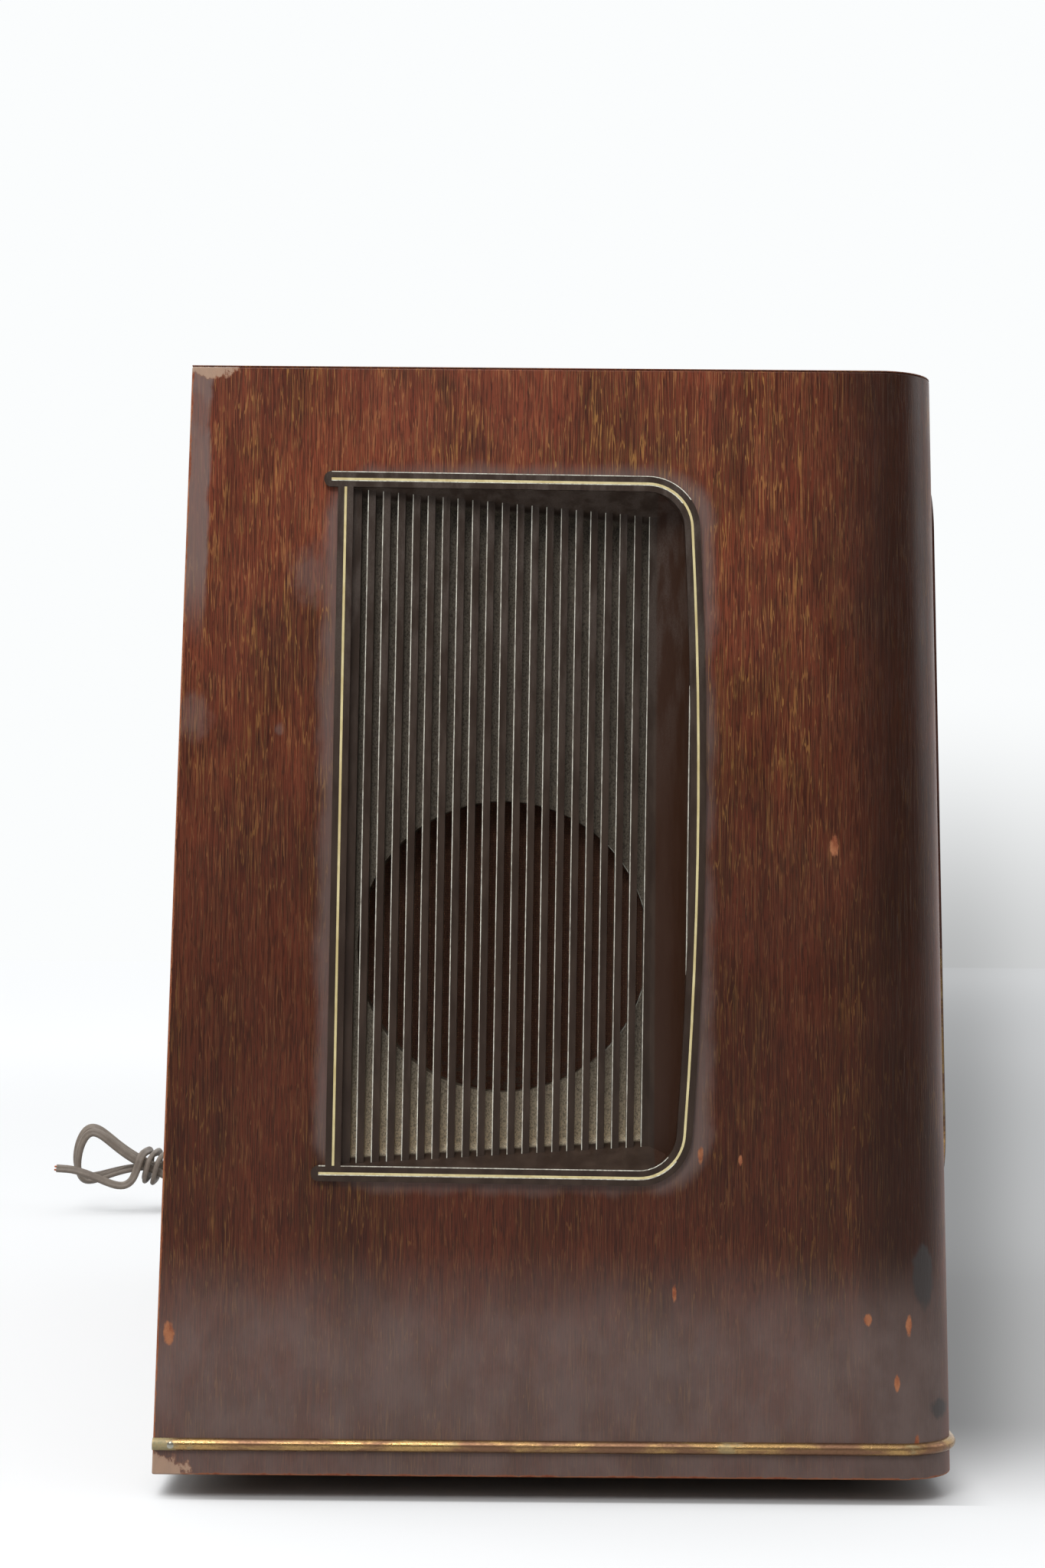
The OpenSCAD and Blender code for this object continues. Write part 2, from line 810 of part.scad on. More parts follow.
shaft_at = [knob_spread, knob_z];
drum_at = [drum_x, drum_z];
left_at = [-pulley_x, pulley_z];
right_at = [pulley_x, pulley_z];
run_top = tangent(left_at, pulley_radius, right_at, pulley_radius, 1);
run_right = tangent(right_at, pulley_radius, shaft_at, spool_radius, 1);
run_drum = tangent(shaft_at, spool_radius, drum_at, drum_radius, 1);
run_left = tangent(drum_at, drum_radius, left_at, pulley_radius, 1);

// Both ends are held at the top of the drum, and run side by side where they pass each other
cord_shift = 0.5;
end_half = 0.6;
drum_crown = drum_at + [0, drum_radius];
function in_plane(points, shift) = [for (p = points) [p[0], cord_y + shift, p[1]]];
cord_loop = concat(
    in_plane([drum_crown + [end_half, 0]], -cord_shift),
    in_plane(round_wheel(drum_at, drum_radius, drum_crown + [end_half, 0], run_left[0], 28), -cord_shift),
    in_plane([run_left[0]], -cord_shift), in_plane([run_left[1]], 0),
    in_plane(round_wheel(left_at, pulley_radius, run_left[1], run_top[0], 8), 0),
    in_plane(run_top, 0),
    in_plane(round_wheel(right_at, pulley_radius, run_top[1], run_right[0], 8), 0),
    in_plane(run_right, 0),
    in_plane(round_wheel(shaft_at, spool_radius, run_right[1], run_drum[0], 10), 0),
    in_plane([run_drum[0]], 0), in_plane([run_drum[1]], cord_shift),
    in_plane(round_wheel(drum_at, drum_radius, run_drum[1], drum_crown - [end_half, 0], 22), cord_shift),
    in_plane([drum_crown - [end_half, 0]], cord_shift));

module dial_cord() {
    color("wheat") tube(cord_loop, cord_radius, 6, [0, 1, 0]);
}

// A grooved wheel for the dial cord, its axis along y and its middle at the origin
module grooved(cord_at, rim, half, shift = 0) {
    floor_r = cord_at - cord_radius - cord_clear;
    slot = cord_radius + cord_clear + 0.2 + shift;
    rotate([90, 0, 0]) difference() {
        translate([0, 0, -half]) cylinder(r = rim, h = 2 * half);
        difference() {
            translate([0, 0, -slot]) cylinder(r = rim + 1, h = 2 * slot);
            translate([0, 0, -slot - 1]) cylinder(r = floor_r, h = 2 * slot + 2);
        }
    }
}

module pulley() {
    difference() {
        grooved(pulley_radius, pulley_radius + 1.8, pulley_half);
        rotate([90, 0, 0]) cylinder(r = stud + running, h = 2 * beyond, center = true);
    }
}

module pulley_left() {
    color("ivory") translate([-pulley_x, cord_y, pulley_z]) pulley();
}

module pulley_right() {
    color("ivory") translate([pulley_x, cord_y, pulley_z]) pulley();
}

// Tuning capacitor

rotor_shaft = 3;
drum_half = 3;
frame_front = knob_y + 30;
frame_depth = 62;
frame_half = 32;
vane = 0.8;
vane_pitch = 2.8;
vane_radius = 24;
vane_count = 8;
vane_groups = [frame_front + 6, frame_front + 34];
tie_bar = vane_radius + 2.4;
pillar_radius = 4;
pillar_inset = 8;

module half_disc(r, thickness) {
    rotate([-90, 0, 0]) intersection() {
        cylinder(r = r, h = thickness);
        translate([-r, 0, -1]) cube([2 * r, r, thickness + 2]);
    }
}

module dial_drum() {
    color("ivory") translate([drum_x, cord_y, drum_z]) difference() {
        grooved(drum_radius, drum_radius + 1.5, drum_half, cord_shift);
        rotate([90, 0, 0]) for (i = [0:4]) rotate([0, 0, i * 72])
            translate([drum_radius * 0.58, 0, 0])
                cylinder(r = drum_radius * 0.26, h = 2 * beyond, center = true);
    }
    color("silver") {
        bar_y(drum_x, cord_y, drum_z, rotor_shaft, frame_front + frame_depth + 1 - cord_y);
        for (start = vane_groups) for (i = [0:vane_count - 1])
            translate([drum_x, start + i * vane_pitch, drum_z]) half_disc(vane_radius, vane);
    }
}

frame_plate = 28;
module capacitor_frame() {
    low = drum_z - frame_plate;
    high = drum_z + frame_plate;
    color("silver") {
        difference() {
            union() {
                for (y = [frame_front, frame_front + frame_depth - sheet])
                    translate([drum_x - frame_half, y, low]) cube([2 * frame_half, sheet, high - low]);
                translate([drum_x - frame_half, frame_front, low])
                    cube([2 * frame_half, frame_depth, sheet]);
            }
            bar_y(drum_x, frame_front - 5, drum_z, rotor_shaft + running, frame_depth + 10);
        }
        for (s = [-1, 1]) for (y = [frame_front + pillar_inset, frame_front + frame_depth - pillar_inset])
            translate([drum_x + s * (frame_half - pillar_inset), y, chassis_top])
                cylinder(r = pillar_radius, h = low - chassis_top);
    }
    color("lightgray") for (start = vane_groups) {
        for (i = [0:vane_count - 2])
            translate([drum_x, start + (i + 0.5) * vane_pitch, drum_z]) difference() {
                rotate([0, 90, 0]) half_disc(vane_radius + 5, vane);
                bar_y(0, -1, 0, 7, 4);
            }
    }
    color("lightgray") for (s = [-1, 1])
        bar_y(drum_x - tie_bar * cos(30), frame_front + sheet - 0.2, drum_z + s * tie_bar * sin(30), 1.4,
            frame_depth - 2 * sheet + 0.4);
}

// Knobs, shafts and potentiometers

tube_radius = 4.3;
shaft_radius = 3;
chassis_y = knob_y + 27;
chassis_depth = base_depth - chassis_space;
chassis_top = floor_z + chassis_height;
pot_depth = 13;
pot_radius = 13;
pot_end = chassis_y + sheet + pot_depth;
tube_end = chassis_y + sheet + 7;
bush_radius = 8;
knob_front = knob_y - knob_reach;
big_front = knob_front + 5;
knob_back = knob_y - 1.5;
knob_dish = 4;
flywheel = [19, 5];

module tube_shaft(from, to) {
    difference() {
        bar_y(0, from, 0, tube_radius, to - from);
        bar_y(0, from - 1, 0, shaft_radius + running, to - from + 2);
    }
}

module large_knob() {
    difference() {
        bar_y(0, big_front, 0, knob_radius, knob_back - big_front);
        bar_y(0, big_front - 1, 0, small_knob_radius + 1, knob_dish + 1);
        bar_y(0, big_front - 1, 0, shaft_radius + running, beyond);
    }
}

module small_knob() {
    bar_y(0, knob_front, 0, small_knob_radius, big_front + knob_dish - 0.4 - knob_front);
    bar_y(0, big_front + 3, 0, shaft_radius, pot_end - 0.5 - big_front - 3);
}

module at_knob(side) {
    translate([side * knob_spread, 0, knob_z]) children();
}

module tuning_knob() {
    color("#3a2a22") at_knob(1) large_knob();
    color("silver") at_knob(1) {
        tube_shaft(knob_back - 1, tube_end - 0.4);
        for (y = [cord_y - 2.4, cord_y + 0.9]) translate([0, y, 0]) difference() {
            bar_y(0, 0, 0, spool_radius + 2, 1.5);
            bar_y(0, -1, 0, shaft_radius + 0.5, 4);
        }
        translate([0, knob_y + 11, 0]) difference() {
            bar_y(0, 0, 0, flywheel[0], flywheel[1]);
            bar_y(0, -1, 0, shaft_radius + 0.5, flywheel[1] + 2);
        }
    }
}

module volume_knob() {
    color("#3a2a22") at_knob(-1) large_knob();
    color("silver") at_knob(-1) tube_shaft(knob_back - 1, tube_end - 0.4);
}

module bass_knob() {
    color("goldenrod") at_knob(-1) small_knob();
}

module treble_knob() {
    color("goldenrod") at_knob(1) small_knob();
}

module potentiometers() {
    color("gray") for (s = [-1, 1]) at_knob(s) difference() {
        union() {
            bar_y(0, chassis_y - 2.5, 0, bush_radius - 0.05, 2.5 + sheet + 1);
            bar_y(0, chassis_y + sheet, 0, pot_radius, pot_depth);
        }
        bar_y(0, chassis_y - 5, 0, tube_radius + running, tube_end - chassis_y + 5);
        bar_y(0, chassis_y - 5, 0, shaft_radius + running, beyond);
    }
}

// Keys

rod_radius = 1.5;
rod_y = knob_y + rod_setback;
rod_z = z0 + key_low + key_height / 2;
lever = [8, 6];
lever_low = rod_z - lever[1] / 2;
hub_radius = 4.5;
hub_gap = 0.6;
function key_x(i) = (i - (key_count + 1) / 2) * key_pitch;

module key(i) {
    width = key_pitch - key_gap;
    color("ivory") translate([key_x(i), 0, 0]) difference() {
        union() {
            translate([-width / 2, knob_y - key_reach, z0 + key_low])
                cube([width, key_reach + 4, key_height]);
            translate([-lever[0] / 2, knob_y + 3, lever_low]) cube([lever[0], rod_setback - 3, lever[1]]);
            translate([(hub_gap - key_pitch) / 2, rod_y, rod_z]) rotate([0, 90, 0])
                cylinder(r = hub_radius, h = key_pitch - hub_gap);
        }
        translate([-key_pitch, rod_y, rod_z]) rotate([0, 90, 0])
            cylinder(r = rod_radius + running, h = 2 * key_pitch);
    }
}

cheek_in = key_count * key_pitch / 2 + 0.3;
cheek = [14, 24, 6];
module key_frame() {
    color("silver") {
        difference() {
            union() {
                for (s = [-1, 1])
                    translate([s * (cheek_in + sheet / 2) - sheet / 2, rod_y - cheek[0], floor_z])
                        cube([sheet, cheek[1], rod_z + cheek[2] - floor_z]);
                translate([-cheek_in, rod_y - cheek[0], floor_z]) cube([2 * cheek_in, cheek[1], sheet]);
            }
            translate([-cheek_in - beyond, rod_y, rod_z]) rotate([0, 90, 0])
                cylinder(r = rod_radius - 0.01, h = 2 * cheek_in + 2 * beyond);
        }
        translate([-cheek_in - sheet, rod_y, rod_z]) rotate([0, 90, 0])
            cylinder(r = rod_radius, h = 2 * (cheek_in + sheet));
    }
}

surround = 5;
module key_surround() {
    color("goldenrod") on_face(-2.5, 0) difference() {
        round_plate(key_bank + surround, slot_low - surround, slot_high + surround, 4);
        translate([-key_bank, slot_low]) square([2 * key_bank, slot_high - slot_low]);
    }
}

module magic_eye() {
    color("seagreen") on_front() {
        intersection() {
            translate([eye_x, 7.5, eye_level]) sphere(eye_radius * 1.2);
            bar_y(eye_x, -beyond, eye_level, eye_radius, 3 * beyond);
        }
        bar_y(eye_x, 5, eye_level, eye_radius - 2, 56);
    }
}

// Chassis and what stands on it

module chassis() {
    x = chassis_width / 2;
    color("lightslategray") difference() {
        translate([-x, chassis_y, floor_z]) cube([chassis_width, chassis_depth, chassis_height]);
        translate([-x + sheet, chassis_y + sheet, floor_z - 1])
            cube([chassis_width - 2 * sheet, chassis_depth - 2 * sheet, chassis_height - sheet + 1]);
        translate([-cheek_in - 3, chassis_y - 1, floor_z + 10])
            cube([2 * cheek_in + 6, sheet + 2, chassis_height - 10 - 2 * sheet]);
        for (s = [-1, 1]) bar_y(s * knob_spread, chassis_y - 1, knob_z, bush_radius, sheet + 2);
    }
}

valve_places = [[-15, 58], [-15, 112], [125, 60], [130, 122], [60, 150], [-75, 70]];
valve_heights = [62, 56, 62, 66, 56, 70];
valve_radius = 10.5;
socket_height = 8;
module at_valve(i) {
    translate([valve_places[i][0], knob_y + valve_places[i][1], chassis_top]) children();
}

module valve_sockets() {
    color("#4a2e1e") for (i = [0:len(valve_places) - 1]) at_valve(i) difference() {
        union() {
            cylinder(r = valve_radius + 1.5, h = socket_height);
            translate([-17, -5, 0]) cube([34, 10, 2]);
        }
        translate([0, 0, 3]) cylinder(r = valve_radius - 2, h = socket_height);
    }
}

module valves() {
    for (i = [0:len(valve_places) - 1]) at_valve(i) {
        color("lightcyan", 0.5) translate([0, 0, socket_height]) {
            cylinder(r = valve_radius, h = valve_heights[i] - valve_radius);
            translate([0, 0, valve_heights[i] - valve_radius]) sphere(valve_radius);
            translate([0, 0, valve_heights[i] - 1.5]) cylinder(r1 = 2.2, r2 = 0.8, h = 5);
        }
    }
}

can_places = [[10, 200], [62, 212], [114, 200]];
can_size = 26;
can_height = 58;
filter_at = [-62, 150];
filter_radius = 17;
filter_height = 92;
module screening_cans() {
    color("silver") {
        for (p = can_places) translate([p[0] - can_size / 2, knob_y + p[1] - can_size / 2, chassis_top])
            cube([can_size, can_size, can_height]);
        translate([filter_at[0], knob_y + filter_at[1], chassis_top]) {
            cylinder(r = filter_radius + 3, h = 4);
            cylinder(r = filter_radius, h = filter_height);
        }
    }
}

// A transformer: a laminated core standing on the chassis with its winding through it
module transformer(x, y, size) {
    translate([x, knob_y + y, chassis_top]) {
        color("gray") translate([-size[0] / 2, -size[1] * 0.2, 0])
            cube([size[0], size[1] * 0.4, size[2]]);
        color("tan") translate([-size[0] * 0.3, -size[1] / 2, size[2] * 0.2])
            cube([size[0] * 0.6, size[1], size[2] * 0.6]);
        color("silver") for (s = [-1, 1])
            translate([s * (size[0] / 2 - 7) - 6, -size[1] * 0.34, 0]) cube([12, size[1] * 0.68, 2]);
    }
}

mains_at = [-140, 190];
mains_core = [92, 78, 80];
output_at = [-150, 92];
output_core = [62, 52, 52];
module mains_transformer() {
    transformer(mains_at[0], mains_at[1], mains_core);
    transformer(output_at[0], output_at[1], output_core);
}

aerial_y = base_middle + 30;
aerial_drop = 26;
aerial_z = z1 - panel_thickness - aerial_drop;
rod_half = 90;
coil_start = -30;
coil_length = 34;
hanger = [6, 18, 9];
module ferrite_aerial() {
    color("dimgray") translate([-rod_half, aerial_y, aerial_z]) rotate([0, 90, 0])
        cylinder(r = 5, h = 2 * rod_half);
    color("burlywood") translate([coil_start, aerial_y, aerial_z]) rotate([0, 90, 0])
        cylinder(r = 7, h = coil_length);
    color("tan") for (s = [-1, 1])
        translate([s * rod_half * 2 / 3 - hanger[0] / 2, aerial_y - hanger[1] / 2, aerial_z - hanger[2]])
            cube([hanger[0], hanger[1], aerial_drop + hanger[2]]);
}

socket_radius = 2.05;
socket_depth = 6;
socket_places = [-72, -53, -34, -15];
socket_z = floor_z + 24;
strip_y = chassis_y + chassis_depth;
strip_start = -86;
strip_size = [85, 22];
module socket_strip() {
    color("#4a2e1e") difference() {
        translate([strip_start, strip_y, socket_z - strip_size[1] / 2])
            cube([strip_size[0], socket_depth, strip_size[1]]);
        for (x = socket_places) bar_y(x, strip_y - 1, socket_z, socket_radius, socket_depth + 2);
    }
}

// Back cover, grommet and mains cord

grommet_x = 215;
grommet_level = 36;
cover_hole = 6;
vent = [3, 26];
vent_low = 110;
vent_step = [24, 66];
strip_clear = 4;
cover_screw = 4;
module back_cover() {
    half = inside - 0.5;
    low = bottom_thickness + 0.6;
    high = cabinet_height - panel_thickness - 0.8;
    color("#7a5a3a") difference() {
        on_back() translate([-half, -cover_inset - cover_thickness, low])
            cube([2 * half, cover_thickness, high - low]);
        on_back() bar_y(grommet_x, -beyond, grommet_level, cover_hole, 2 * beyond);
        translate([strip_start - strip_clear, strip_y - 20, socket_z - strip_size[1] / 2 - strip_clear])
            cube([strip_size[0] + 2 * strip_clear, 2 * beyond, strip_size[1] + 2 * strip_clear]);
        on_back() for (row = [0:3]) for (i = [-9:9])
            translate([i * vent_step[0] - vent[0] / 2, -beyond, vent_low + row * vent_step[1]])
                cube([vent[0], 2 * beyond, vent[1]]);
    }
    color("silver") on_back() for (s = [-1, 1]) for (z = [low + 20, (low + high) / 2, high - 20])
        bar_y(s * (half - 7), -cover_inset - 0.01, z, cover_screw, 2);
}

sleeve = 22;
module cord_grommet() {
    color("black") on_back() translate([grommet_x, -cover_inset, grommet_level])
        rotate([-90, 0, 0]) {
            translate([0, 0, -cover_thickness]) cylinder(r = cover_hole - 0.05, h = cover_thickness + 1);
            cylinder(r = cover_hole + 3, h = 2);
            translate([0, 0, 2]) cylinder(r1 = cover_hole, r2 = cord_width / 2 + 1.1, h = sleeve - 2);
        }
}

exit_at = [grommet_x, back_y(z0 + grommet_level) + sleeve - cover_inset, z0 + grommet_level + 0.4];

// Tied cord. A place on it comes from the angle u, in degrees, along a figure of eight
// It lies behind the set's right end; rear is the back edge of the base
rear = base_middle + base_depth / 2;
tie_at = [610, rear + 128, 32.3];
tie_tilt = 10;
half_passes = 3;
u_start = -60;
u_end = 1000;
waist = 0.5;
function pass_drift(u) = ((u - u_start) / (u_end - u_start) - 0.5) * loop_step * 2 * half_passes;
function loop_turn(u) = tie_tilt - 1.3 * sin(u / 2.7) * pow(sin(u), 2);
function loop_long(u) = loop_reach - 3 * sin(u / 3.3 + 40);
function loop_wide(u) =
    loop_width * (1 + 0.1 * sin(u)) * sin(u) * cos(u) * (waist + pow(sin(u), 2)) / (1 + waist);
function loop_point(u) =
    let(p = loop_long(u) * sin(u), q = loop_wide(u), a = loop_turn(u))
    tie_at + [pass_drift(u), p * cos(a) - q * sin(a), p * sin(a) + q * cos(a)];

// The tie: turns round the bundle, square to the loops
wraps = 2.5;
wrap_deep = loop_step * (half_passes - 0.5) + 1.88 * cord_width;
wrap_high = 1.92 * cord_width;
wrap_span = 16;
function bulge(v) = sign(v) * pow(abs(v), 0.61);
function wrap_point(t) =
    let(v = 360 * wraps * t, y = wrap_span * (t - 0.5), z = wrap_high * bulge(sin(v)))
    tie_at + [wrap_deep * bulge(cos(v)), y * cos(tie_tilt) - z * sin(tie_tilt),
        y * sin(tie_tilt) + z * cos(tie_tilt)];

// A smooth bridge from a to b, which leaves a along da and reaches b along db
function bridge(a, da, b, db, t) =
    let(s = 1 - t)
    a * s * s * s + (a + da) * 3 * s * s * t + (b - db) * 3 * s * t * t + b * t * t * t;

hank_rings = 24 * half_passes * 2;
loop_line = [for (i = [0:hank_rings]) loop_point(u_start + (u_end - u_start) * i / hank_rings)];
wrap_rings = 20 * wraps;
wrap_line = [for (i = [0:wrap_rings]) wrap_point(i / wrap_rings)];
function last(list) = list[len(list) - 1];
function aim(a, b, length) = (b - a) / norm(b - a) * length;
bridge_line = [for (i = [1:7])
    bridge(last(loop_line), aim(loop_line[hank_rings - 1], last(loop_line), 31),
        wrap_line[0], aim(wrap_line[0], wrap_line[1], 21.5), i / 8)];
tail_end = tie_at + [-30, 64.5, 0.7];
tail_line = [for (i = [1:8])
    bridge(last(wrap_line), aim(wrap_line[wrap_rings - 1], last(wrap_line), 30),
        tail_end, [0, 30, -1], i / 8)];
hank_line = concat(loop_line, bridge_line, wrap_line, tail_line);

// The run from the grommet to the tied cord, along the floor
lying = cord_width / 2 + 0.05;
run_line = concat(
    [exit_at, exit_at + [0, 6, 0.1], [216, rear + 34, 40], [220, rear + 43, 25], [228, rear + 52, 9],
        [240, rear + 62, lying + 0.6], [256, rear + 71, lying]],
    [for (p = [[280, 74], [306, 72], [334, 67], [362, 62], [390, 58], [418, 55], [446, 52],
        [474, 49], [502, 46], [528, 45], [552, 46], [572, 51], [585, 61]]) [p[0], rear + p[1], lying]],
    [for (d = [16, 8, 0]) loop_line[0] - aim(loop_line[0], loop_line[1], d)]);

// A tube along a line, closed at both ends
function unit(v) = v / norm(v);
function heading_at(line, i) =
    unit(line[min(i + 1, len(line) - 1)] - line[max(i - 1, 0)]);
// Each ring's side direction is the one before it, turned as little as it can be
function carried(line, i, side) =
    let(t = heading_at(line, i), s = unit(side - t * (side * t)))
    i == len(line) - 1 ? [s] : concat([s], carried(line, i + 1, s));
module tube(line, r, sides, side) {
    across_list = carried(line, 0, side);
    points = [for (i = [0:len(line) - 1])
        let(t = heading_at(line, i), s = across_list[i], n = cross(t, s))
        for (k = [0:sides - 1]) line[i] + (s * cos(k * 360 / sides) + n * sin(k * 360 / sides)) * r];
    rings = len(line);
    faces = concat(
        [[for (k = [0:sides - 1]) k]],
        [[for (k = [0:sides - 1]) rings * sides - 1 - k]],
        [for (i = [0:rings - 2]) for (k = [0:sides - 1])
            [i * sides + k, (i + 1) * sides + k, (i + 1) * sides + (k + 1) % sides]],
        [for (i = [0:rings - 2]) for (k = [0:sides - 1])
            [i * sides + k, (i + 1) * sides + (k + 1) % sides, i * sides + (k + 1) % sides]]);
    polyhedron(points, faces);
}

module mains_cord() {
    color("#7d7064") tube(run_line, cord_width / 2, 8, [1, 0, 0]);
}

module mains_hank() {
    color("#7d7064") tube(hank_line, cord_width / 2, 6, [1, 0, 0]);
}

function run_length(line) =
    [for (i = [1:len(line) - 1]) norm(line[i] - line[i - 1])] * [for (i = [1:len(line) - 1]) 1];
apart = ceil(4 * cord_width / 6) + 2;
function least_gap(line) = min([for (i = [0:len(line) - 1 - apart]) for (j = [i + apart:len(line) - 1])
    norm(line[i] - line[j])]) - cord_width;
echo(hank_gap = least_gap(hank_line), lowest = min([for (p = hank_line) p[2]]) - cord_width / 2,
    hank_length = run_length(hank_line), run_length = run_length(run_line), rings = len(hank_line));

side_panel_left();
side_panel_right();
top_panel();
bottom_board();
front_panel();
corner_blocks();
back_battens();
base_runners();
runner_screws();
brass_bead();
side_grille_left();
side_grille_right();
grille_inlay_left();
grille_inlay_right();
side_cloth_left();
side_cloth_right();
side_speaker_left();
side_speaker_right();
side_cone_left();
side_cone_right();
front_bezel();
dial_trim();
front_cloth();
speaker_board();
front_speaker();
front_cone();
dial_glass();
dial_plate();
dial_pointer();
dial_cord();
pulley_left();
pulley_right();
dial_drum();
capacitor_frame();
tuning_knob();
volume_knob();
bass_knob();
treble_knob();
potentiometers();
key(1);  // key_1
key(2);  // key_2
key(3);  // key_3
key(4);  // key_4
key(5);  // key_5
key(6);  // key_6
key(7);  // key_7
key_frame();
key_surround();
magic_eye();
chassis();
valve_sockets();
valves();
screening_cans();
mains_transformer();
ferrite_aerial();
socket_strip();
back_cover();
cord_grommet();
mains_cord();
mains_hank();
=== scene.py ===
"""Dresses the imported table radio: cabinet, grilles, front, dial, works, back and mains lead, in a white studio."""

import json
import logging
import math
from collections.abc import Iterable, Sequence
from dataclasses import dataclass
from enum import Enum

import bmesh
import bpy
import numpy as np
from mathutils import Matrix, Vector


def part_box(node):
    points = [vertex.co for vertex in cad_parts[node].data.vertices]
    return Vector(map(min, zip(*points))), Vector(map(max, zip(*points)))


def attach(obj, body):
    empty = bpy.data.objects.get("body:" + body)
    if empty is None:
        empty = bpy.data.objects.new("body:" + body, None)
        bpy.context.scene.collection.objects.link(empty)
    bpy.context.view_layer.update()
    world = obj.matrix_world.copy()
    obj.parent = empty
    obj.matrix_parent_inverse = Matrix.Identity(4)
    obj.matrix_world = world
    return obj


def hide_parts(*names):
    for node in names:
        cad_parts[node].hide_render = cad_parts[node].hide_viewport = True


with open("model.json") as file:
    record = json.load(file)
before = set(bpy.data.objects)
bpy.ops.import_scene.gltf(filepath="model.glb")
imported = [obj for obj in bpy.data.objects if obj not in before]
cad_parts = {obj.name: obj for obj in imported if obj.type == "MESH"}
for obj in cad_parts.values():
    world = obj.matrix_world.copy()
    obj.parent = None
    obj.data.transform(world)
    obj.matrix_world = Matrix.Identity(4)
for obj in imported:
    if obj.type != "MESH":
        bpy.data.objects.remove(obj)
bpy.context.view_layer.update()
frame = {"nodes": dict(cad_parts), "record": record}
log = logging.getLogger("table radio")

Colour = tuple[float, float, float]
Point = Sequence[float]
BLACK = (0.0, 0.0, 0.0)


def tone(red: float, green: float, blue: float) -> Colour:
    """Turns a colour as the eye reads it on a screen into linear light."""
    return tuple(v / 12.92 if v <= 0.04045 else ((v + 0.055) / 1.055) ** 2.4 for v in (red, green, blue))


class Reading:
    """A value on a bench. Sums and products of readings lay out the nodes that work them out."""

    def __init__(self, bench: "Bench", socket: bpy.types.NodeSocket) -> None:
        """Holds one output of a node.

        Args:
            bench: the bench that the node stands on.
            socket: the output.
        """
        self.bench, self.socket = bench, socket

    def __add__(self, other: "Value") -> "Reading":
        """The sum."""
        return self.bench.sum("ADD", self, other)

    def __sub__(self, other: "Value") -> "Reading":
        """The difference."""
        return self.bench.sum("SUBTRACT", self, other)

    def __rsub__(self, other: float) -> "Reading":
        """The difference from a number."""
        return self.bench.sum("SUBTRACT", other, self)

    def __mul__(self, other: "Value") -> "Reading":
        """The product."""
        return self.bench.sum("MULTIPLY", self, other)

    def __truediv__(self, other: "Value") -> "Reading":
        """The quotient."""
        return self.bench.sum("DIVIDE", self, other)

    def __abs__(self) -> "Reading":
        """The size without its sign."""
        return self.bench.sum("ABSOLUTE", self)

    __radd__, __rmul__ = __add__, __mul__


Value = float | Sequence[float] | Reading


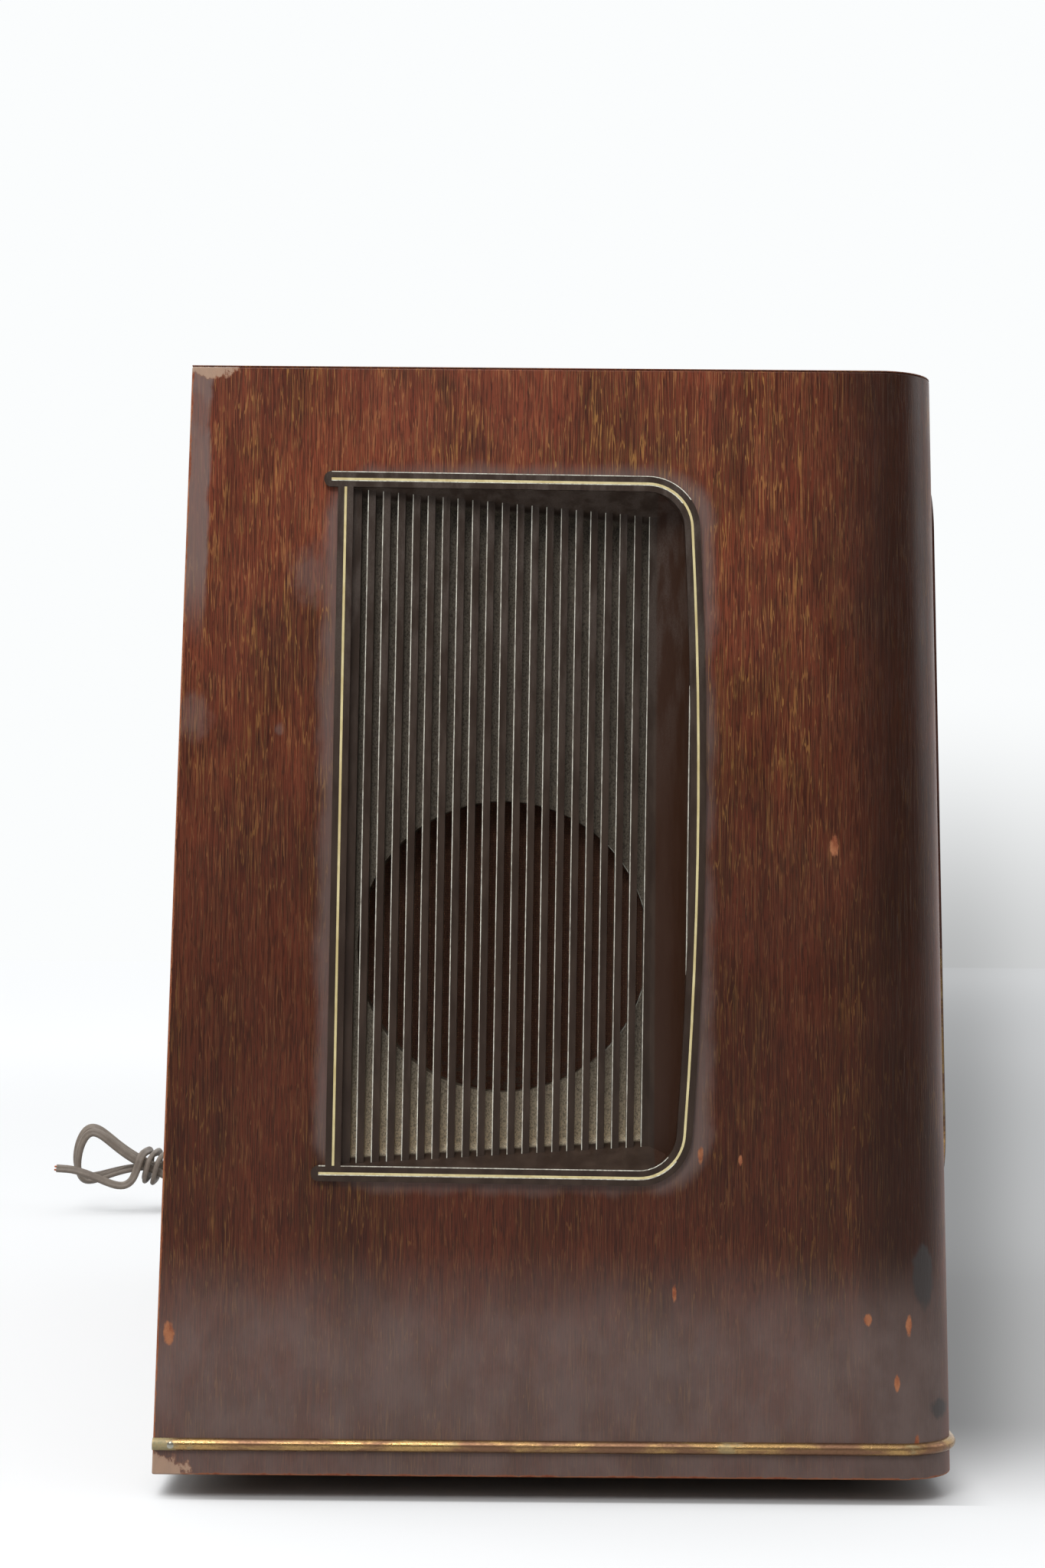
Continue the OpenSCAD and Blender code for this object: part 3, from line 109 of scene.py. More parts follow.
class Bench:
    """Lays out one material's nodes, with a short call for each step that the finishes share."""

    def __init__(self, name: str, tree: bpy.types.NodeTree | None = None, place: str = "Object") -> None:
        """Opens an empty material, or clears the tree that is given.

        Args:
            name: the material's name.
            tree: the tree to lay nodes in, where it isn't a new material's.
            place: which coordinates the patterns follow.
        """
        if tree is None:
            self.material = bpy.data.materials.new(name)
            self.material.use_nodes = True
            tree = self.material.node_tree
        self.tree = tree
        self.tree.nodes.clear()
        self.place = self.read("ShaderNodeTexCoord", place)
        parts = self.node("ShaderNodeSeparateXYZ", Vector=self.place).outputs
        self.x, self.y, self.z = (Reading(self, part) for part in parts)

    def node(self, kind: str, setup: dict | None = None, **sockets: Value) -> bpy.types.ShaderNode:
        """Adds a node.

        Args:
            kind: the node's type name.
            setup: the node's own options.
            sockets: values or readings for its inputs, by input name with _ for a space.

        Returns:
            The node.
        """
        node = self.tree.nodes.new(kind)
        for option, value in (setup or {}).items():
            setattr(node, option, value)
        for name, value in sockets.items():
            self.feed(node.inputs[name.replace("_", " ")], value)
        return node

    def read(self, kind: str, output: str | int, setup: dict | None = None, inputs: Sequence[Value] = (),
             **sockets: Value) -> Reading:
        """Adds a node and reads one of its outputs.

        Args:
            kind: the node's type name.
            output: the output's name or number.
            setup: the node's own options.
            inputs: its inputs in order.
            sockets: its inputs by name.

        Returns:
            The reading.
        """
        node = self.node(kind, setup, **sockets)
        for socket, value in zip(node.inputs, inputs):
            self.feed(socket, value)
        return Reading(self, node.outputs[output])

    def feed(self, socket: bpy.types.NodeSocket, value: Value) -> None:
        """Sets an input to a value, or links it.

        Args:
            socket: the input.
            value: the value, the colour or the reading that it gets.
        """
        if isinstance(value, Reading):
            self.tree.links.new(value.socket, socket)
        elif isinstance(value, (tuple, list)) and len(value) == 3 and socket.type == "RGBA":
            socket.default_value = (*value, 1.0)
        else:
            socket.default_value = value

    def sum(self, way: str, a: Value, b: Value = 0.0) -> Reading:
        """One step of arithmetic, by the operation's name."""
        return self.read("ShaderNodeMath", 0, {"operation": way}, (a, b))

    def rays(self, *kinds: str) -> Reading:
        """1 for light rays of any of the kinds that are named, 0 for others."""
        path = self.node("ShaderNodeLightPath").outputs
        return self.any_of(*(Reading(self, path[f"Is {kind} Ray"]) for kind in kinds))

    def any_of(self, *values: Value) -> Value:
        """The largest of several shares.

        Args:
            values: the shares.

        Returns:
            The largest.
        """
        made = values[0]
        for value in values[1:]:
            made = self.sum("MAXIMUM", made, value)
        return made

    def drawn(self, scale: Point, shift: Point = (0, 0, 0)) -> Reading:
        """The place on the object, times a scale and moved by a shift along each axis."""
        return self.read("ShaderNodeVectorMath", 0, {"operation": "MULTIPLY_ADD"}, (self.place, scale, shift))

    def mottle(self, size: float, along: Point = (1, 1, 1), detail: float = 3, rough: float = 0.55,
               warp: float = 0.0, seed: float = 0.0) -> Reading:
        """Soft random patches.

        Args:
            size: size of a patch in metres.
            along: how many times longer the patches are along x, y and z.
            detail: how many finer layers they have.
            rough: how strong the finer layers are.
            warp: how far the patches are pushed about.
            seed: moves the pattern.

        Returns:
            About 0.5 on average.
        """
        scale = tuple(1 / (size * a) for a in along)
        return self.read("ShaderNodeTexNoise", "Fac", Vector=self.drawn(scale, (seed, seed * 1.7, seed * 0.6)),
                         Scale=1.0, Detail=detail, Roughness=rough, Distortion=warp)

    def step(self, value: Value, low: float, high: float, start: float = 0.0, end: float = 1.0) -> Reading:
        """A smooth step of a value, between low and high, from start to end."""
        return self.read("ShaderNodeMapRange", 0, {"interpolation_type": "SMOOTHSTEP"}, (value, low, high, start, end))

    def mix(self, share: Value, under: Reading | Colour, over: Reading | Colour) -> Reading:
        """Lays a share of one colour over another. Written colours are as the eye reads them on a screen.

        Args:
            share: how much of the upper colour covers the lower one, from 0 to 1.
            under: the lower colour.
            over: the upper colour.

        Returns:
            The mixed colour.
        """
        node = self.node("ShaderNodeMix", {"data_type": "RGBA", "blend_type": "MIX"})
        for name, value in (("Factor_Float", share), ("A_Color", under), ("B_Color", over)):
            value = tone(*value) if isinstance(value, tuple) else value
            self.feed(next(s for s in node.inputs if s.identifier == name), value)
        return Reading(self, next(s for s in node.outputs if s.identifier == "Result_Color"))

    def near(self, spot: Point, reach: Point, edge: float = 0.3, ragged: Value = 0.5) -> Reading:
        """A mark round one place.

        Args:
            spot: the mark's middle.
            reach: its half size along x, y and z.
            edge: how soft its rim is.
            ragged: patches that break up the rim.

        Returns:
            1 inside the mark, 0 outside.
        """
        scale = tuple(1 / r for r in reach)
        moved = self.drawn(scale, tuple(-s * k for s, k in zip(spot, scale)))
        far = self.read("ShaderNodeVectorMath", "Value", {"operation": "LENGTH"}, Vector=moved)
        return self.step(far + (ragged - 0.5) * 1.6, 1 - edge, 1 + edge, 1.0, 0.0)

    def marks(self, places: Iterable[Sequence[float]], edge: float, ragged: Value) -> Reading:
        """Marks on a side of the set.

        Args:
            places: how far back and how high each mark lies, and its half size along both.
            edge: how soft the rims are.
            ragged: patches that break up the rims.

        Returns:
            1 inside the marks, 0 outside.
        """
        return self.any_of(*(self.near((0, y, z), (1, back, up), edge, ragged) for y, z, back, up in places))

    def relief(self, height: Value, depth: float) -> Reading:
        """Raises the surface by a height from 0 to 1, of which 1 stands for a depth in metres."""
        return self.read("ShaderNodeBump", "Normal", Height=height, Strength=1.0, Distance=depth)

    def surface(self, **sockets: Value) -> bpy.types.Material:
        """Closes the material with one shader, whose inputs are given by name with _ for a space."""
        self.node("ShaderNodeOutputMaterial", Surface=self.read("ShaderNodeBsdfPrincipled", 0, **sockets))
        return self.material


class Grain(Enum):
    """Which way the wood's grain or a cloth's width runs."""

    CROSSWISE = "x"
    FRONT_TO_BACK = "y"
    UPRIGHT = "z"


class Side(Enum):
    """A side of the set, as the sign of its x."""

    LEFT = -1
    RIGHT = 1

    @property
    def word(self) -> str:
        """The ending of this side's node names."""
        return self.name.lower()


@dataclass(frozen=True)
class Finish:
    """What every finish has: the record's slot that it stands for."""

    slot: str

    def lay(self, bench: Bench) -> bpy.types.Material:
        """Lays out the material's nodes on a bench and returns the material."""
        raise NotImplementedError

    def material(self) -> bpy.types.Material:
        """The finish's material, made once.

        Returns:
            The material.
        """
        if self not in _made:
            _made[self] = self.lay(Bench(f"{type(self).__name__}_{len(_made)}"))
        return _made[self]


_made: dict[Finish, bpy.types.Material] = {}


@dataclass(frozen=True)
class Veneer(Finish):
    """Old mahogany veneer under crazed varnish."""

    slot: str = "veneer"
    grain: Grain = Grain.UPRIGHT
    # worn: the side that is seen, with its wear and marks, and its painted shade, painted reflection and painted
    # highlight.
    worn: bool = False
    seed: float = 0.0

    def lay(self, bench: Bench) -> bpy.types.Material:
        """Lays the wood's reds, its pores and the crazed varnish, and on the worn side its marks with painted shade, a
        painted reflection and a painted highlight.

        Args:
            bench: the material's bench.

        Returns:
            The material.
        """
        cloud = bench.mottle(0.045, (1, 1, 1.6), 3, 0.55, 0.3, 9.0 + self.seed)
        bands = bench.step(bench.mottle(0.007, self.along(), 4, 0.6, 0.5, 3.1 + self.seed), 0.32, 0.70)
        pore = bench.step(bench.mottle(0.0005, self.along(), 3, 0.6, 0.0, 1.3 + self.seed), 0.54, 0.68)
        patch = bench.step(bench.mottle(0.010, (1, 1, 1.6), 4, 0.65, 0.0, 15 + self.seed), 0.36, 0.64, 0.35, 1.0)
        craze = patch * bench.any_of(self.hairs(bench, 0.0011, 2.8, 0.010, 4.0),
                                     self.hairs(bench, 0.0019, 2.2, 0.007, 12.0))
        gold = bench.mix(bench.step(cloud, 0.4, 0.6), (0.72, 0.52, 0.27), (0.66, 0.44, 0.27))
        strong = 1.0 if self.worn else 0.45
        wood = bench.mix(bands, (0.345, 0.155, 0.092), (0.455, 0.220, 0.135))
        for share, over in (
            (bench.step(cloud, 0.40, 0.66, 0.0, 0.75 * strong), (0.51, 0.240, 0.150)),
            (bench.step(cloud, 0.46, 0.30, 0.0, 0.6 * strong), (0.34, 0.165, 0.09)),
            (pore * 0.5, (0.16, 0.070, 0.045)),
            (self.hairs(bench, 0.0007, 3.2, 0.030, 21.0) * 0.55, (0.13, 0.060, 0.040)),
            (craze * 0.56, gold),
        ):
            wood = bench.mix(share, wood, over)
        rough = bench.step(bench.mottle(0.05, (1, 1, 1), 4, 0.6, 0.0, 5.0), 0.3, 0.7, 0.32, 0.42)
        if self.worn:
            wood, rough = self.wear(bench, wood, rough)
        return bench.surface(Base_Color=wood, Roughness=rough, Specular_IOR_Level=0.22, Coat_Weight=0.05,
                             Normal=bench.relief(craze * 0.7 + pore * -0.4, 0.00004), Coat_Roughness=0.25)

    def along(self, stretch: float = 1.0) -> tuple[float, ...]:
        """How many times longer the wood's marks are along x, y and z."""
        return tuple(10.0 * stretch if axis is self.grain else 1.0 for axis in Grain)

    def hairs(self, bench: Bench, size: float, stretch: float, thin: float, start: float) -> Reading:
        """Fine wavy lines along the grain.

        Args:
            bench: the material's bench.
            size: how far apart they lie, in metres.
            stretch: how much longer they are than the pores.
            thin: how thin they are.
            start: moves the pattern.

        Returns:
            1 on a line, 0 between the lines.
        """
        waves = bench.mottle(size, self.along(stretch), 1.5, 0.5, 0.12, start + self.seed)
        return bench.step(abs(waves - 0.5), thin, thin * 2.2, 1.0, 0.0)

    def wear(self, bench: Bench, wood: Reading, rough: Reading) -> tuple[Reading, Reading]:
        """Adds to the side that is seen its darker front corner, partly painted shade, its darker lower part as painted
        shade, its haze with a painted floor reflection at the foot, its worn edges with a painted highlight on part of
        the top edge, and its single marks.

        Args:
            bench: the material's bench.
            wood: the colour so far.
            rough: the roughness so far.

        Returns:
            The colour and the roughness.
        """
        y, z = bench.y, bench.z
        leaning = y + z * BACK_LEAN
        ragged = bench.mottle(0.0045, (1, 1, 1.5), 5, 0.68, 0.2, 2.0)
        broad = bench.mottle(0.016, (1, 1, 1.5), 4, 0.6, 0.0, 6.0)
        outside = bench.step(bench.x, -0.298, -0.316)
        # Painted shade: the front corner is darker, partly painted shade of the rounding corner and partly the wood's
        # own darker tone; the lower part is darker as painted shade.
        painted_low_shade = bench.step(z, 0.38, 0.17) * bench.step(y, 0.13, -0.09, 0.64, 0.72)
        dark = bench.any_of(bench.step(y, -0.070, -0.118), painted_low_shade) * outside
        wood = bench.mix(dark * 0.9, wood, (0.140, 0.060, 0.020))
        low, high = GRILLE_BOX
        aside = bench.any_of(low.y + FRAME_ROUND - y, y - (high.y - FRAME_ROUND - 0.004), 0.0)
        above = bench.any_of(low.z + FRAME_ROUND - z, z - (high.z - FRAME_ROUND), 0.0)
        far = bench.sum("SQRT", aside * aside + above * above)
        round_frame = bench.step(far + broad * 0.009, 0.0225, 0.030, 1.0, 0.0)
        back_rim = (bench.step(leaning + broad * 0.006, 0.1525, 0.1545) * bench.step(z, 0.315, 0.35)
                    * bench.step(broad, 0.3, 0.5, 0.7, 1.0))
        # Painted reflection: the pale haze at the foot stands for the white floor's reflection; the haze round the
        # grille frame, along the back rim and in spots lies on the varnish itself.
        foot = bench.step(z, 0.098, 0.055) * bench.step(broad, 0.3, 0.7, 0.6, 0.95)
        haze = bench.any_of(foot, round_frame * 0.9, back_rim * 1.1, bench.marks(HAZE_SPOTS, 0.5, ragged) * 0.5)
        wood = bench.mix(haze * outside * 0.64, wood, (0.475, 0.410, 0.390))
        stains = bench.any_of(bench.marks(STAINS[:1], 0.12, broad), bench.marks(STAINS[1:], 0.3, ragged))
        wood = bench.mix(stains * 0.85, wood, (0.22, 0.205, 0.20))
        corners = bench.marks(BARE_CORNERS, 0.12, ragged)
        marks = bench.any_of(bench.marks(CHIPS, 0.25, ragged), corners,
                             bench.step(leaning + ragged * 0.0022, 0.15872, 0.15905),
                             bench.step(z - ragged * 0.0022, 0.0089, 0.0083),
                             bench.step(z + ragged * 0.0011, 0.42445, 0.42475))
        bare_wood_and_highlight = bench.mix(bench.step(ragged, 0.35, 0.7), (0.68, 0.44, 0.30), (0.50, 0.25, 0.15))
        bare_wood_and_highlight = bench.mix(corners * 0.8, bare_wood_and_highlight, (0.70, 0.60, 0.52))
        # Painted highlight: a near-white line on part of the top edge.
        painted_top_highlight = bench.step(z, 0.4235, 0.4241) * bench.step(y, -0.06, -0.03)
        bare_wood_and_highlight = bench.mix(painted_top_highlight, bare_wood_and_highlight, (0.93, 0.88, 0.84))
        return bench.mix(marks * 0.92, wood, bare_wood_and_highlight), rough + bench.any_of(marks, haze * 0.3) * 0.3


@dataclass(frozen=True)
class Plain(Finish):
    """A finish of one kind of stuff, with a fine mottle and relief."""

    colour: Colour
    second: Colour
    patch: float
    along: tuple[float, float, float] = (1.0, 1.0, 1.0)
    rough: float = 0.5
    metal: float = 0.0
    depth: float = 0.00003
    coat: float = 0.0

    def lay(self, bench: Bench) -> bpy.types.Material:
        """Lays two colours in patches, a relief and a broken sheen.

        Args:
            bench: the material's bench.

        Returns:
            The material.
        """
        patches = bench.mottle(self.patch, self.along, 5, 0.62, 0.2)
        wide = bench.mottle(self.patch * 9, self.along, 3, 0.5)
        colour = bench.mix(bench.step(patches * 0.6 + wide * 0.4, 0.36, 0.66), self.colour, self.second)
        rough = bench.step(wide, 0.3, 0.7, max(0.05, self.rough - 0.08), min(1.0, self.rough + 0.08))
        return bench.surface(Base_Color=colour, Roughness=rough, Metallic=self.metal,
                             Normal=bench.relief(patches, self.depth), Coat_Weight=self.coat, Coat_Roughness=0.12)


@dataclass(frozen=True)
class Bakelite(Finish):
    """Dark moulded plastic, dusty in the gaps of the side grilles, where its slats' flanks that face back are also
    paler as painted light.
    """

    slot: str = "bakelite"
    dusty: bool = False

    def lay(self, bench: Bench) -> bpy.types.Material:
        """Lays the moulding's brown and sheen and, where it is dusty, the dusty gaps, painted light on the slat flanks
        that face back, and a paler speckled grey towards the top.

        Args:
            bench: the material's bench.

        Returns:
            The material.
        """
        cloud = bench.mottle(0.006, (1, 1, 4), 4, 0.6)
        specks = bench.mottle(0.0006, (1, 1, 1.4), 4, 0.75, 0.0, 4.4)
        colour = bench.mix(bench.step(cloud, 0.35, 0.7), (0.195, 0.145, 0.115), (0.245, 0.190, 0.155))
        if not self.dusty:
            return bench.surface(Base_Color=colour, Roughness=bench.step(cloud, 0.3, 0.7, 0.22, 0.34),
                                 Normal=bench.relief(specks, 0.000006), Coat_Weight=0.3)
        backward = bench.read("ShaderNodeSeparateXYZ", "Y", Vector=bench.read("ShaderNodeNewGeometry", "True Normal"))
        low, high = GRILLE_BOX
        behind = high.y - FIELD_START - bench.y
        inward = HALF_WIDTH - abs(bench.x) - (behind * FIELD_SLOPE + 0.001)
        field = bench.step(behind, FIELD_DEPTH, FIELD_DEPTH - 0.001)
        deep = bench.step(inward, 0.0030, 0.0055) * field
        cove = bench.step(behind, FIELD_DEPTH, FIELD_DEPTH + 0.001) * bench.step(bench.x, -0.3195, -0.3185)
        downward = bench.step(bench.z, 0.30, 0.12)
        top = bench.step(bench.z, 0.24, 0.36)
        # Painted light: the slat flanks that face back, towards the light, are made as pale as the dusty gaps.
        flank = bench.step(backward, 0.85, 0.97) * field * 0.6
        dust_and_lit_flank = bench.any_of(deep, flank) * (0.5 + downward * 0.4) * bench.step(specks, 0.36, 0.60, 0.25, 1.0)
        colour = bench.mix(cove * 0.75, colour, (0.215, 0.115, 0.060))
        # A paler speckled grey towards the top.
        paler_top = bench.step(cloud, 0.4, 0.62, 0.1, 0.5) * top * bench.step(specks, 0.4, 0.6, 0.5, 1.0)
        colour = bench.mix(paler_top * 0.6, colour, (0.40, 0.37, 0.35))
        foot = bench.step(bench.z, low.z + 0.060, low.z + 0.012) * dust_and_lit_flank
        colour = bench.mix(dust_and_lit_flank * 0.88, colour, (0.76, 0.71, 0.63))
        colour = bench.mix(foot * 0.85, colour, (0.95, 0.88, 0.76))
        rough = dust_and_lit_flank * 0.4 + bench.step(cloud, 0.3, 0.7, 0.32, 0.44)
        return bench.surface(Base_Color=colour, Roughness=rough, Specular_IOR_Level=0.25,
                             Normal=bench.relief(specks, 0.00003))


@dataclass(frozen=True)
class Weave(Finish):
    """Woven loudspeaker cloth: threads over and under, with a brighter thread now and then."""

    dark: Colour
    light: Colour
    spark: Colour
    pitch: float
    across: Grain = Grain.FRONT_TO_BACK
    dusty: bool = False

    def lay(self, bench: Bench) -> bpy.types.Material:
        """Lays the threads as two waves that pass over each other.

        Args:
            bench: the material's bench.

        Returns:
            The material.
        """
        turn = math.pi / self.pitch
        wave_a = bench.sum("SINE", getattr(bench, self.across.value) * turn)
        wave_b = bench.sum("SINE", bench.z * turn)
        side = bench.step(wave_a * wave_b, -0.12, 0.12)
        thread = abs(wave_a) * side + abs(wave_b) * (1.0 - side)
        patch = bench.mottle(self.pitch * 5, (1, 1, 1), 3, 0.6)
        dots = bench.step(bench.mottle(self.pitch * 0.9, (1, 1, 1), 2, 0.5, 0.0, 2.2), 0.6, 0.66)
        colour = bench.mix(bench.step(thread, 0.25, 0.95), self.dark, self.light)
        colour = bench.mix(dots * bench.step(thread, 0.5, 0.9) * 0.8, colour, self.spark)
        colour = bench.mix(bench.step(patch, 0.4, 0.62) * 0.16, colour, self.dark)
        if self.dusty:
            low = bench.step(bench.z, 0.175, 0.148)
            flecks = bench.step(bench.mottle(0.0028, (1, 1, 0.7), 4, 0.7, 0.6, 6.1), 0.5, 0.58)
            colour = bench.mix(low * flecks * 0.75, colour, (0.5, 0.44, 0.39))
        return bench.surface(Base_Color=colour, Roughness=0.85, Sheen_Weight=0.25, Sheen_Roughness=0.5,
                             Normal=bench.relief(thread, self.pitch * 0.3))


@dataclass(frozen=True)
class AgedBrass(Finish):
    """Lacquered brass strip with brown patina."""

    slot: str = "brass"

    def lay(self, bench: Bench) -> bpy.types.Material:
        """Lays bright brass and the patina that creeps over it.

        Args:
            bench: the material's bench.

        Returns:
            The material.
        """
        patina = bench.step(bench.mottle(0.014, (1, 2.5, 0.6), 5, 0.66, 0.4), 0.40, 0.60)
        specks = bench.step(bench.mottle(0.0009, (1, 1, 1), 4, 0.7), 0.48, 0.66)
        colour = bench.mix(patina, (0.66, 0.53, 0.34), (0.48, 0.355, 0.27))
        green = bench.step(bench.mottle(0.009, (1, 2, 1), 3, 0.6, 0.0, 8.0), 0.58, 0.66)
        end = bench.near((0, 0.155, 0.0205), (1, 0.005, 0.01), 0.5, bench.mottle(0.0025, seed=3.0))
        crust = bench.any_of(green * 0.55, end)
        colour = bench.mix(crust * bench.step(specks, 0, 1, 0.55, 1), colour, (0.62, 0.61, 0.47))
        colour = bench.mix(specks * 0.35, colour, (0.30, 0.21, 0.12))
        rough = bench.step(patina, 0.0, 1.0, 0.24, 0.36) + crust * 0.3
        return bench.surface(Base_Color=colour, Metallic=bench.step(crust, 0.2, 0.9, 0.85, 0.15), Roughness=rough,
                             Normal=bench.relief(specks, -0.00002))


@dataclass(frozen=True)
class Glass(Finish):
    """Clear pane or bulb."""

    slot: str = "glass"

    def lay(self, bench: Bench) -> bpy.types.Material:
        """Lays a thin clear pane with a few fine wipe marks.

        Args:
            bench: the material's bench.

        Returns:
            The material.
        """
        wipe = bench.mottle(0.01, (6, 1, 1), 4, 0.6)
        return bench.surface(Base_Color=(0.98, 0.99, 0.98), Roughness=bench.step(wipe, 0.4, 0.8, 0.02, 0.07),
                             Transmission_Weight=1.0, IOR=1.12, Alpha=0.35)


PLAIN_WOOD = Plain("plain_wood", (0.62, 0.47, 0.32), (0.50, 0.35, 0.22), 0.003, (8, 1, 1), 0.7, depth=0.00008)
# Dark felt runners, whose near-black also stands in for the shade under the set.
RUNNER = Plain("runner", (0.10, 0.07, 0.055), (0.05, 0.035, 0.03), 0.003, (1, 12, 1), 0.85, depth=0.00008)
GOLD = Plain("gold_paint", (0.90, 0.84, 0.64), (0.80, 0.72, 0.50), 0.003, (1, 1, 3), 0.45, 0.1, 0.00001)
BRIGHT_GOLD = Plain("brass", (0.85, 0.70, 0.40), (0.74, 0.58, 0.30), 0.004, rough=0.28, metal=0.9, depth=0.000004)
GREY_STEEL = Plain("grey_steel", (0.36, 0.37, 0.37), (0.25, 0.26, 0.26), 0.004, rough=0.45, metal=0.5)
ZINC = Plain("zinc", (0.66, 0.65, 0.60), (0.50, 0.48, 0.42), 0.007, rough=0.38, metal=0.85, depth=0.00001)
ALUMINIUM = Plain("aluminium", (0.80, 0.80, 0.80), (0.68, 0.68, 0.67), 0.005, rough=0.32, metal=0.95)
PAPER = Plain("paper", (0.13, 0.115, 0.10), (0.075, 0.065, 0.06), 0.0016, rough=0.95, depth=0.00006)
FRONT_FRAME = Plain("front_frame", (0.33, 0.155, 0.075), (0.24, 0.11, 0.05), 0.008, (4, 1, 1), 0.42)
DIAL_INK = Plain("dial", (0.90, 0.84, 0.68), (0.80, 0.72, 0.55), 0.02, rough=0.5, depth=0.000005)
POINTER = Plain("pointer", (0.72, 0.10, 0.07), (0.55, 0.07, 0.05), 0.01, rough=0.4)
DIAL_BROWN = Plain("dial", (0.24, 0.13, 0.07), (0.18, 0.10, 0.06), 0.01, rough=0.5, depth=0.0)
DIAL_RED = Plain("dial", (0.62, 0.12, 0.08), (0.52, 0.10, 0.07), 0.01, rough=0.5, depth=0.0)
CORE_STEEL = Plain("grey_steel", (0.33, 0.32, 0.31), (0.20, 0.19, 0.18), 0.0008, (40, 40, 1), 0.5, 0.5, 0.00005)
DIAL_LINE = Plain("dial_line", (0.80, 0.72, 0.52), (0.60, 0.52, 0.36), 0.0008, rough=0.8)
PULLEY = Plain("pulley", (0.86, 0.82, 0.72), (0.72, 0.66, 0.54), 0.006, rough=0.4)
IVORY = Plain("ivory", (0.90, 0.86, 0.74), (0.84, 0.78, 0.62), 0.014, rough=0.24, depth=0.000004, coat=0.3)
HARDBOARD = Plain("hardboard", (0.43, 0.305, 0.20), (0.37, 0.255, 0.165), 0.0009, rough=0.9, depth=0.00006)
FERRITE = Plain("ferrite", (0.17, 0.17, 0.18), (0.11, 0.11, 0.12), 0.002, rough=0.55)
CORD = Plain("cord", (0.50, 0.455, 0.41), (0.43, 0.385, 0.345), 0.006, rough=0.5, depth=0.00002)
# Painted highlight: the pale colour of the strips along the lit arrises of the side grilles.
HIGHLIGHT_PAINT = Plain("bakelite", (0.93, 0.92, 0.86), (0.62, 0.59, 0.54), 0.0011, (1, 1, 2), 0.5)
RUBBER = Plain("rubber", (0.10, 0.095, 0.09), (0.06, 0.06, 0.06), 0.002, rough=0.7)
COPPER = Plain("cord", (0.78, 0.46, 0.30), (0.55, 0.29, 0.17), 0.0006, rough=0.35, metal=1.0)
EYE = Plain("eye_glass", (0.10, 0.24, 0.17), (0.05, 0.13, 0.09), 0.004, rough=0.08, depth=0.0, coat=1.0)
SIDE_CLOTH = Weave("side_cloth", (0.24, 0.15, 0.11), (0.62, 0.42, 0.32), (0.98, 0.74, 0.54), 0.00052, dusty=True)
FRONT_CLOTH = Weave("front_cloth", (0.42, 0.30, 0.16), (0.80, 0.66, 0.42), (0.95, 0.84, 0.60), 0.0011, Grain.CROSSWISE)

# Marks on the worn side: how far back and how high they lie, and their half sizes, in metres
HAZE_SPOTS = ((0.1467, 0.291, 0.006, 0.008), (0.102, 0.345, 0.008, 0.010), (-0.0083, 0.3267, 0.004, 0.006),
              (0.1143, 0.2865, 0.0015, 0.002))
STAINS = ((-0.1285, 0.0835, 0.0048, 0.0125), (-0.1355, 0.0345, 0.0035, 0.0035))
CHIPS = ((-0.0947, 0.2449, 0.0016, 0.0042), (-0.045, 0.1287, 0.001, 0.003), (-0.0599, 0.1267, 0.0008, 0.002),
         (-0.0355, 0.0776, 0.0009, 0.003), (0.1525, 0.0612, 0.002, 0.004), (-0.123, 0.066, 0.0011, 0.0035),
         (-0.1075, 0.068, 0.0015, 0.002), (-0.1185, 0.045, 0.001, 0.003), (-0.126, 0.023, 0.001, 0.003),
         (0.0922, 0.156, 0.0012, 0.003))
BARE_CORNERS = ((0.158, 0.0085, 0.013, 0.0085), (0.1430, 0.4250, 0.0115, 0.0052))

# The cabinet's half width, how far its back leans, and the side grille: its corners' radius, how far its field of
# slats starts behind the frame's front, how deep the field is and how much it slopes inward
HALF_WIDTH = 0.320
BACK_LEAN = 9.4 / 415.5
GRILLE_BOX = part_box("side_grille_left")
FRAME_ROUND = 0.020
FIELD_START = 0.0153
FIELD_DEPTH = 0.1128
FIELD_SLOPE = 0.013 / 0.11212

BODY_OF: dict[str, str] = {node: body for body, nodes in frame["record"]["behaviour"]["bodies"].items()
                           for node in nodes}


def link(name: str, data: bpy.types.ID) -> bpy.types.Object:
    """Puts a mesh, a lamp or a camera in the scene as an object.

    Args:
        name: the object's name.
        data: what it shows.

    Returns:
        The object.
    """
    made = bpy.data.objects.new(name, data)
    bpy.context.scene.collection.objects.link(made)
    return made


def mesh_of(name: str, points: Iterable[Point], faces: Iterable[Sequence[int]], finish: Finish, body: str,
            smooth: float | None = 40.0) -> bpy.types.Object:
    """Makes a piece from points and faces.

    Args:
        name: the piece's name.
        points: its corners in metres.
        faces: its faces, as indices of corners.
        finish: its finish.
        body: the body that it rides on.
        smooth: the sharpest angle that is shaded smooth, in degrees, or None for flat faces.

    Returns:
        The piece.
    """
    mesh = bpy.data.meshes.new(name)
    mesh.from_pydata([tuple(map(float, p)) for p in points], [], [tuple(map(int, f)) for f in faces])
    mesh.validate()
    mesh.materials.append(finish.material())
    shade(mesh, smooth)
    piece = link(name, mesh)
    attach(piece, body)
    return piece


def shade(mesh: bpy.types.Mesh, smooth: float | None) -> None:
    """Turns the faces outward and shades them smooth up to an angle.

    Args:
        mesh: the mesh.
        smooth: the angle in degrees, or None for flat faces.
    """
    work = bmesh.new()
    work.from_mesh(mesh)
    bmesh.ops.recalc_face_normals(work, faces=work.faces)
    for face in work.faces:
        face.smooth = smooth is not None
    if smooth is not None:
        for edge in work.edges:
            edge.smooth = not (len(edge.link_faces) == 2 and edge.calc_face_angle() > math.radians(smooth))
    work.to_mesh(mesh)
    work.free()


